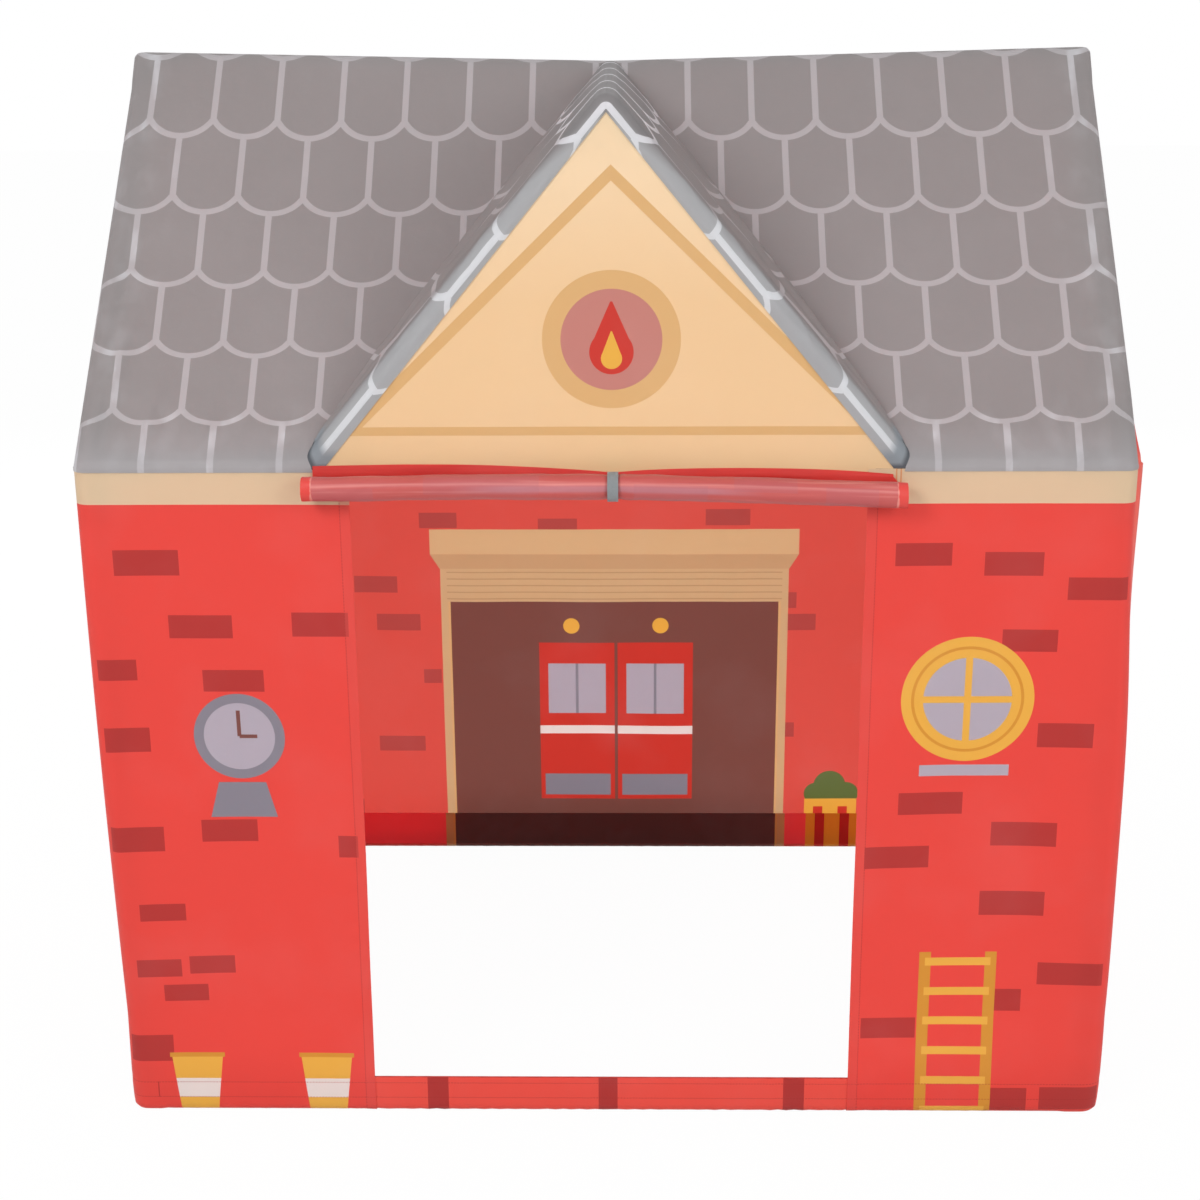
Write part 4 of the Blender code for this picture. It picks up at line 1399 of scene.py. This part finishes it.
def sew_front_roof(name, dormer, seed):
    corner = Vector((-SIDE_AXIS, FRONT_AXIS, EAVE_HEIGHT))
    end = ridge_at(-SIDE_AXIS)
    normal = dormer.main_normal
    turns = dormer.turns
    straight = len(turns) - 1
    top = straight + SLOPE_ROWS
    upslope = (end - corner).normalized()

    def row_parts(row):
        """A row's start on the frame, its way out of the slope, and its end in the valley."""
        if row <= CORNER_TURNS:
            direction = turning(FORWARD, normal, row / CORNER_TURNS)
            return corner, direction, dormer.foot_point(turns[row])
        if row <= straight:
            valley = dormer.foot_point(turns[row])
        elif row <= top:
            valley = dormer.valley((row - straight) / SLOPE_ROWS)
        else:
            share = (row - top) / CORNER_TURNS
            valley = dormer.tee_point(dormer.from_up * (1 - share))
            return end, turning(normal, UP, share), valley
        share = (row - CORNER_TURNS) / (top - CORNER_TURNS)
        return corner.lerp(end, share), normal.copy(), valley

    def place(column, row):
        axis, direction, valley = row_parts(row)
        share = (row - CORNER_TURNS) / (top - CORNER_TURNS)
        held = clamped(share)
        angle = across = 0
        if column < CORNER_TURNS:
            angle = math.pi / 2 * (1 - column / CORNER_TURNS)
            direction = round_post(direction, -angle)
            point = axis + WRAP * squared(angle, share) * direction
            free = hump(held) * math.cos(angle) ** 4
        else:
            across = (column - CORNER_TURNS) / ROOF_COLUMNS
            point = (axis + WRAP * direction).lerp(valley, across)
            free = hump(held) * min(1, 6 * (1 - across))
        climbed = (point - corner - WRAP * normal).dot(upslope)
        sink = bow(across, held, ROOF_BOW) + roof_give(point.x, climbed, free, seed)
        sink += corner_folds(dormer.sign * abs(point.x), climbed) * min(1, free * 4)
        if row < 2:
            sink -= OVER
        aside = point.x - WRAP * (angle - math.sin(angle))
        point -= sink * direction
        if row == 0:
            point -= LAP * UP
        point, direction = dormer.mirrored(point, direction)
        return point, direction, aside, climbed + WRAP * 0.75

    return sew(name, CORNER_TURNS + ROOF_COLUMNS, top + CORNER_TURNS, place, roof_cloth)


# %% [markdown]
# ## Dormer roof
#
# The cloth is sewn beside the gable, wraps tightly round the rafter like a tube, and then drapes
# back to the valley in long folds that run with the tube. More cloth than the short span needs is
# why those folds are there.

# %% Dormer roof
DORMER_COLUMNS = 64
FOLD_ROWS = 30
VALLEY_FOLD = 0.0075
LONG_FOLD = 0.0020
SHORT_FOLD = 0.0016
CRUSH = 0.0011
SEAM_WIDTH = 0.010


def crushed(up, angle, seed):
    """Fine irregular dents in the cloth that is drawn tight round the rafter."""
    small = noise_at(up / 0.011, angle * 2.2, seed + 3)
    return CRUSH * (noise_at(up / 0.028, angle * 1.4, seed) + 0.6 * small)


def folds_to_valley(up, back, free, seed):
    """How far out the folds stand: one large one in front of the valley, and finer ones."""
    fold = VALLEY_FOLD * hump(back**1.6) ** 0.6 * free**0.5 if 0 < back < 1 else 0
    edge = hump(back)
    bend = 1.5 * noise_at(up / 0.12, seed, 0)
    fold += LONG_FOLD * math.sin(7 * math.pi * back**0.7 + bend) * edge * free
    return fold + SHORT_FOLD * noise_at(up / 0.030, back * 5, seed) * edge * free**0.5


def sew_dormer_roof(name, dormer, seed):
    seam_foot = Vector((-GABLE_HALF, FRONT, EAVE_HEIGHT))
    seam_apex = Vector((0, FRONT, GABLE_TOP))
    over_top = upward((dormer.tee - dormer.apex).normalized().cross(LEFT))
    turns = dormer.turns
    wrapped = len(turns)
    rafter_length = (dormer.apex - dormer.foot).length

    def place(column, row):
        along = min(column / DORMER_COLUMNS, 1)
        over = max(column - DORMER_COLUMNS, 0) / CORNER_TURNS
        slope_out = turning(dormer.dormer_normal, over_top, over)
        up = along * rafter_length
        free = hump(along)
        if row == 0:
            point, direction = seam_foot.lerp(seam_apex, along), FORWARD.copy()
            across = 0
        elif row <= wrapped:
            angle = turns[row - 1]
            direction = turning(FORWARD, slope_out, angle / dormer.dormer_turn)
            point = dormer.rafter_start(angle).lerp(dormer.apex, along) + WRAP * direction
            point += crushed(up, angle, seed) * free**0.4 * direction
            across = SEAM_WIDTH + WRAP * angle
        else:
            back = (row - wrapped) / FOLD_ROWS
            direction = slope_out
            start = dormer.rafter_start(dormer.dormer_turn)
            front = start.lerp(dormer.apex, along) + WRAP * direction
            valley = dormer.valley(along)
            if over:
                valley = dormer.tee_point(dormer.from_up * (1 - over))
            across = SEAM_WIDTH + WRAP * dormer.dormer_turn + (valley - front).length * back
            point = front.lerp(valley, back) + folds_to_valley(up, back, free, seed) * direction
        point, direction = dormer.mirrored(point, direction)
        return point, direction, across, up

    columns = DORMER_COLUMNS + CORNER_TURNS
    return sew(name, columns, wrapped + FOLD_ROWS, place, dormer_cloth)


for side, sign in (("left", -1), ("right", 1)):
    dormer = Dormer(sign)
    hang(
        sew_front_roof(f"{side}_front_roof", dormer, 20.0 + sign),
        f"roof_front_{side}",
    )
    hang(
        sew_dormer_roof(f"{side}_dormer_roof", dormer, 30.0 + sign),
        f"dormer_roof_{side}",
    )

# %% [markdown]
# ## Gable, header and sill
#
# The gable is a flat triangle set just behind the dormer's seams. The header is the cream strip
# above the doorway, mostly hidden by the rolled door. The sill is a sleeve round the floor rail.

# %% Gable, header and sill
GABLE_GRID = 56
GABLE_LAP = 0.003
HEADER_ROWS = 4
SILL_COLUMNS = 60
SILL_ROWS = 5
SILL_TOP = 0.041
SILL_LAP = 0.004
TIE_MIDDLE = 0.005


def gable_edge(across):
    """The height of the seam under the gable. It rises at the left and sinks towards the right
    foot, and the tie pulls it down in the middle."""
    aside = (across - TIE_MIDDLE) / GABLE_HALF
    height = EAVE_HEIGHT - 0.0048 * math.exp(-abs(aside) / 0.165)
    if aside > 0:
        return height - 0.0075 * min(aside, 1) ** 4
    rise = min(-aside / 0.6, 1)
    return height + 0.0036 * rise * rise * (3 - 2 * rise) - 0.0048 * max(-aside - 0.75, 0)


def sew_gable():
    half = GABLE_HALF + GABLE_LAP
    top = GABLE_TOP + GABLE_LAP

    def place(column, row):
        up = row / GABLE_GRID
        across = column / GABLE_GRID
        below = half * (2 * across - 1)
        edge = gable_edge(below)
        if abs(below) > DOOR_EDGE:
            edge = max(edge, EAVE_HEIGHT - SEAM_AIR)
        x = below * (1 - up)
        height = edge + (top - edge) * up
        free = (hump(across) * hump(up)) ** 0.5 if 0 < up < 1 and 0 < across < 1 else 0
        sink = bow(across, up, 0.003) + free * drift(x, height, 41.0, 0.12, 0.0022) + 0.0008
        return Vector((x, FRONT + sink, height)), FORWARD, x, height

    return sew("gable", GABLE_GRID, GABLE_GRID, place, gable_cloth)


def sew_header():
    half = DOOR_EDGE - SEAM_AIR

    def place(column, row):
        x = half * (2 * column / SILL_COLUMNS - 1)
        top = min(EAVE_HEIGHT, gable_edge(x)) - SEAM_AIR
        height = top + (EAVE_HEIGHT - HEADER_DEPTH - top) * row / HEADER_ROWS
        return Vector((x, FRONT, height)), FORWARD, x, height

    return sew("header", SILL_COLUMNS, HEADER_ROWS, place, cream_cloth)


def sew_sill():
    """The sleeve closes at its top edge, and its ends run in behind the panels."""
    half = DOOR_EDGE + SILL_LAP
    front_top = Vector((0, FRONT + 0.0012 - flared(SILL_TOP, 0), SILL_TOP))
    behind = 0.0042 * (UP - FORWARD).normalized()

    def place(column, row):
        x = half * (2 * column / SILL_COLUMNS - 1)
        under = math.pi * min(max(row - 1, 0), HEM_TURNS) / HEM_TURNS
        direction = math.cos(under) * FORWARD - math.sin(under) * UP
        sink = pucker(x, 0, 51.0, 0.0006) + 0.0011 * (abs(x) > DOOR_EDGE - 0.001)
        height = FLOOR_AXIS if row else SILL_TOP
        point = Vector((x, FRONT_AXIS, height)) + flared(height, under) * FORWARD
        point += (WRAP * squarer(under, 8) - sink) * direction
        closing = max(row - 1 - HEM_TURNS, 0) / SILL_ROWS
        point = point.lerp(front_top + x * -LEFT, closing) + hump(closing) * behind
        up = height - WRAP * under - closing * (SILL_TOP - FLOOR_AXIS)
        return point, direction, x, up

    return sew("sill", SILL_COLUMNS, HEM_TURNS + 1 + SILL_ROWS, place, sill_cloth)


hang(
    sew_gable(),
    "dormer_gable",
)
hang(sew_header(), "door_header")
hang(sew_sill(), "door_sill")

# %% [markdown]
# ## Rolled door
#
# The door is sewn under the gable and rolled up by hand, so it is a spiral of thin cloth, a bit
# uneven and lower at its right end. The tie squeezes it in the middle.

# %% Rolled door
ROLL_AXIS = Vector((0, -0.3494, 0.6875))
ROLL_RADIUS = 0.0127
ROLL_PITCH = 0.00058
ROLL_TURNS = 10.4
ROLL_STEPS = 26
ROLL_SPANS = 96
ROLL_START, ROLL_END = -0.292, 0.285
DOOR_WIDTH = ROLL_END - ROLL_START
TIGHT_RADIUS = 0.0070
TIE_REACH = 0.009
CURTAIN_FACE = FRONT - 0.0018


def droop(across):
    """How much lower than straight the roll lies, at a place along it."""
    low = 0.0098 * max(across / ROLL_HALF, 0) ** 1.5 + 0.0014 * max(-across / ROLL_HALF, 0)
    return low + 0.0005 * math.sin(across / 0.07)


def uneven(across, y, z):
    """How far the roll's outside stands out or in, for a direction round it."""
    swell = 0.0009 * noise_at(across / 0.06, y, z) + 0.0005 * noise_at(across / 0.018, 2 * y, 2 * z)
    crumpled = 0.0020 * bell(across - TIE_MIDDLE - 0.014, TIE_REACH)
    swell += crumpled * noise_at(across / 0.004, 3 * y, 3 * z)
    squeeze = 0.0014 * bell(across - TIE_MIDDLE, TIE_REACH)
    return swell - squeeze - 0.0006 * max(-across / ROLL_HALF, 0)


def sew_roll():
    def place(column, row):
        across = ROLL_START + DOOR_WIDTH * column / ROLL_SPANS
        angle = 2 * math.pi * row / ROLL_STEPS
        radius = ROLL_RADIUS - ROLL_PITCH * row / ROLL_STEPS
        direction = Vector((0, math.cos(angle), -math.sin(angle)))
        outer = clamped((radius - TIGHT_RADIUS) / (ROLL_RADIUS - TIGHT_RADIUS))
        radius += uneven(across, math.cos(angle), math.sin(angle)) * (0.35 + 0.65 * outer)
        axis = Vector((across, ROLL_AXIS.y, ROLL_AXIS.z - droop(across)))
        return axis + radius * direction, direction, across, ROLL_RADIUS * angle

    return sew("rolled_door", ROLL_SPANS, round(ROLL_STEPS * ROLL_TURNS), place, roll_cloth)


roll = sew_roll()
hang(roll, "door_roll", body="door")
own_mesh(roll)

# %% [markdown]
# ## Door cloth above the roll
#
# A short strip of the door still hangs between the seam under the gable and the roll. Its top
# stays sewn to the tent and its lower edge follows the roll, so the strip blends between the two.

# %% Door cloth above the roll
CURTAIN_ROWS = 40
CURTAIN_TOP = 0.6935
SEAM_ROWS = 4
CURTAIN_LEFT, CURTAIN_RIGHT = -0.2835, 0.2730


def sew_curtain():
    def place(column, row):
        share = column / ROLL_SPANS
        above = CURTAIN_LEFT + (CURTAIN_RIGHT - CURTAIN_LEFT) * share
        below = ROLL_START + DOOR_WIDTH * share
        if row < SEAM_ROWS:
            seam = row / SEAM_ROWS
            top = gable_edge(above) + 0.0012
            height = top + (CURTAIN_TOP - top) * seam
            forward = (FRONT - CURTAIN_FACE + SEAM_AIR) * math.sin(math.pi / 2 * seam)
            return Vector((above, FRONT - SEAM_AIR - forward, height)), FORWARD, above, height
        down = (row - SEAM_ROWS) / CURTAIN_ROWS
        across = above + (below - above) * down
        height = CURTAIN_TOP + (ROLL_AXIS.z - droop(across) - CURTAIN_TOP) * down
        wave = 0.0006 * math.sin(across / 0.023 + 1.3 * math.sin(across / 0.09)) * hump(down)
        return Vector((across, CURTAIN_FACE - 0.0008 + wave, height)), FORWARD, across, height

    return sew("door_curtain", ROLL_SPANS, SEAM_ROWS + CURTAIN_ROWS, place, curtain_cloth)


curtain = sew_curtain()
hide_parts("door_cloth")
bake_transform(curtain)

# %% [markdown]
# ## Tie
#
# A short length of ribbed tape starts behind the door cloth, goes under the roll and up in front
# of it, and ends over its top at the gable's seam.

# %% Tie
TIE_HALF = 0.0052
TIE_STEPS = 28
TIE_TURN = 1.6 * math.pi
TIE_ROW = 0.002


def sew_tie():
    radius = ROLL_RADIUS + 0.0010
    seam = gable_edge(TIE_MIDDLE)
    path = [Vector((0, ROLL_AXIS.y + radius + 0.0012, seam - 0.0020))]
    for n in range(TIE_STEPS + 1):
        angle = TIE_TURN * n / TIE_STEPS
        path.append(ROLL_AXIS + radius * Vector((0, math.cos(angle), -math.sin(angle))))
    path.append(Vector((0, CURTAIN_FACE - 0.0014, seam + 0.0012)))

    def place(column, row):
        across = TIE_MIDDLE + TIE_HALF * (column / 2 - 1)
        out = (path[row] - ROLL_AXIS).normalized()
        return path[row] + OVER * out - across * LEFT, out, across, row * TIE_ROW

    return sew("door_tie_tape", 4, len(path) - 1, place, tie_webbing)


tie = sew_tie()
hang(tie, "door_tie")
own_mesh(tie)

# %% [markdown]
# ## Floor, background and light
#
# The photograph has a plain white surrounding. The floor is a real, pale surface that catches a
# soft shadow, and only rays from the camera see it and the background as white, so that no extra
# light falls on the tent. Large soft lamps at an even level leave the colours as they were mixed.

# %% Floor and background
FLOOR_HALF = 12
WHITE_LIGHT = (1, 1, 1, 1)
PAPER = (0.86, 0.86, 0.86, 1)
SEEN_WHITE = 0.975
AMBIENT = 0.70


def seen_as(finish):
    """1 for rays that make the picture's background: straight, reflected or through glass."""
    sockets = finish.node("LightPath").socket.node.outputs
    straight, glossy, through = (
        Signal(finish, sockets[f"Is {kind} Ray"]) for kind in ("Camera", "Glossy", "Transmission")
    )
    return least(straight + glossy + through, 1.0)


floor_finish = Finish("studio_floor")
paper = floor_finish.node("BsdfDiffuse", {"Color": PAPER})
white = floor_finish.node("Emission", {"Color": WHITE_LIGHT, "Strength": 1.0})
shown = seen_as(floor_finish) * SEEN_WHITE
floor_finish.done(floor_finish.node("MixShader", {0: shown, 1: paper, 2: white}))

sheet = bmesh.new()
bmesh.ops.create_grid(sheet, x_segments=1, y_segments=1, size=FLOOR_HALF)
floor_mesh = bpy.data.meshes.new("studio_floor")
sheet.to_mesh(floor_mesh)
sheet.free()
floor_mesh.materials.append(floor_finish.material)
floor = bpy.data.objects.new("studio_floor", floor_mesh)
bpy.context.collection.objects.link(floor)
floor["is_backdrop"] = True

world = bpy.data.worlds.new("studio")
bpy.context.scene.world = world
world.use_nodes = True
world.node_tree.nodes.clear()
air = Finish.__new__(Finish)
air.tree = world.node_tree
ambient = air.node("Background", {"Color": WHITE_LIGHT, "Strength": AMBIENT})
backdrop = air.node("Background", {"Color": WHITE_LIGHT, "Strength": 1.0})
around = air.node("MixShader", {0: seen_as(air), 1: ambient, 2: backdrop})
air.node("OutputWorld", {0: around})
print("floor and background made,", FLOOR_HALF * 2, "m wide")

# %% [markdown]
# ## Lamps
#
# Two soft lamps in front, the stronger one on the left, give the gentle shading of the photograph.
# A third one behind makes the back wall glow through its cloth. It is not mirrored in the cover,
# because its reflection would turn the ridge white.


# %% Lamps
def lamp(name, place, aim, size, power, mirrored=True):
    light = bpy.data.lights.new(name, "AREA")
    light.shape = "DISK"
    light.size = size
    light.energy = power
    thing = bpy.data.objects.new(name, light)
    thing.location = place
    thing.rotation_euler = (Vector(aim) - Vector(place)).to_track_quat("-Z", "Y").to_euler()
    thing.visible_camera = False
    thing.visible_glossy = mirrored
    bpy.context.collection.objects.link(thing)
    print(f"{name}: {power} W")


lamp("key_lamp", (-1.9, -2.6, 2.6), (0, 0, 0.6), 1.4, 62)
lamp("fill_lamp", (2.2, -2.4, 1.9), (0, 0, 0.6), 1.6, 36)
lamp("back_lamp", (0.0, 3.0, 0.7), (0, 0.3, 0.4), 2.0, 85, mirrored=False)

# %% [markdown]
#
# The cover may stand a little proud of the plain CAD cover, as fabric does, and no more. Both
# boxes are written down so that they can be compared.

# %% Sizes and finish
visual_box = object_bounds()
print("visual box:", [round(side, 4) for corner in visual_box for side in corner])
boxes = {"cad": cad_box, "visual": visual_box}
{key: [[float(s) for s in corner] for corner in box] for key, box in boxes.items()}
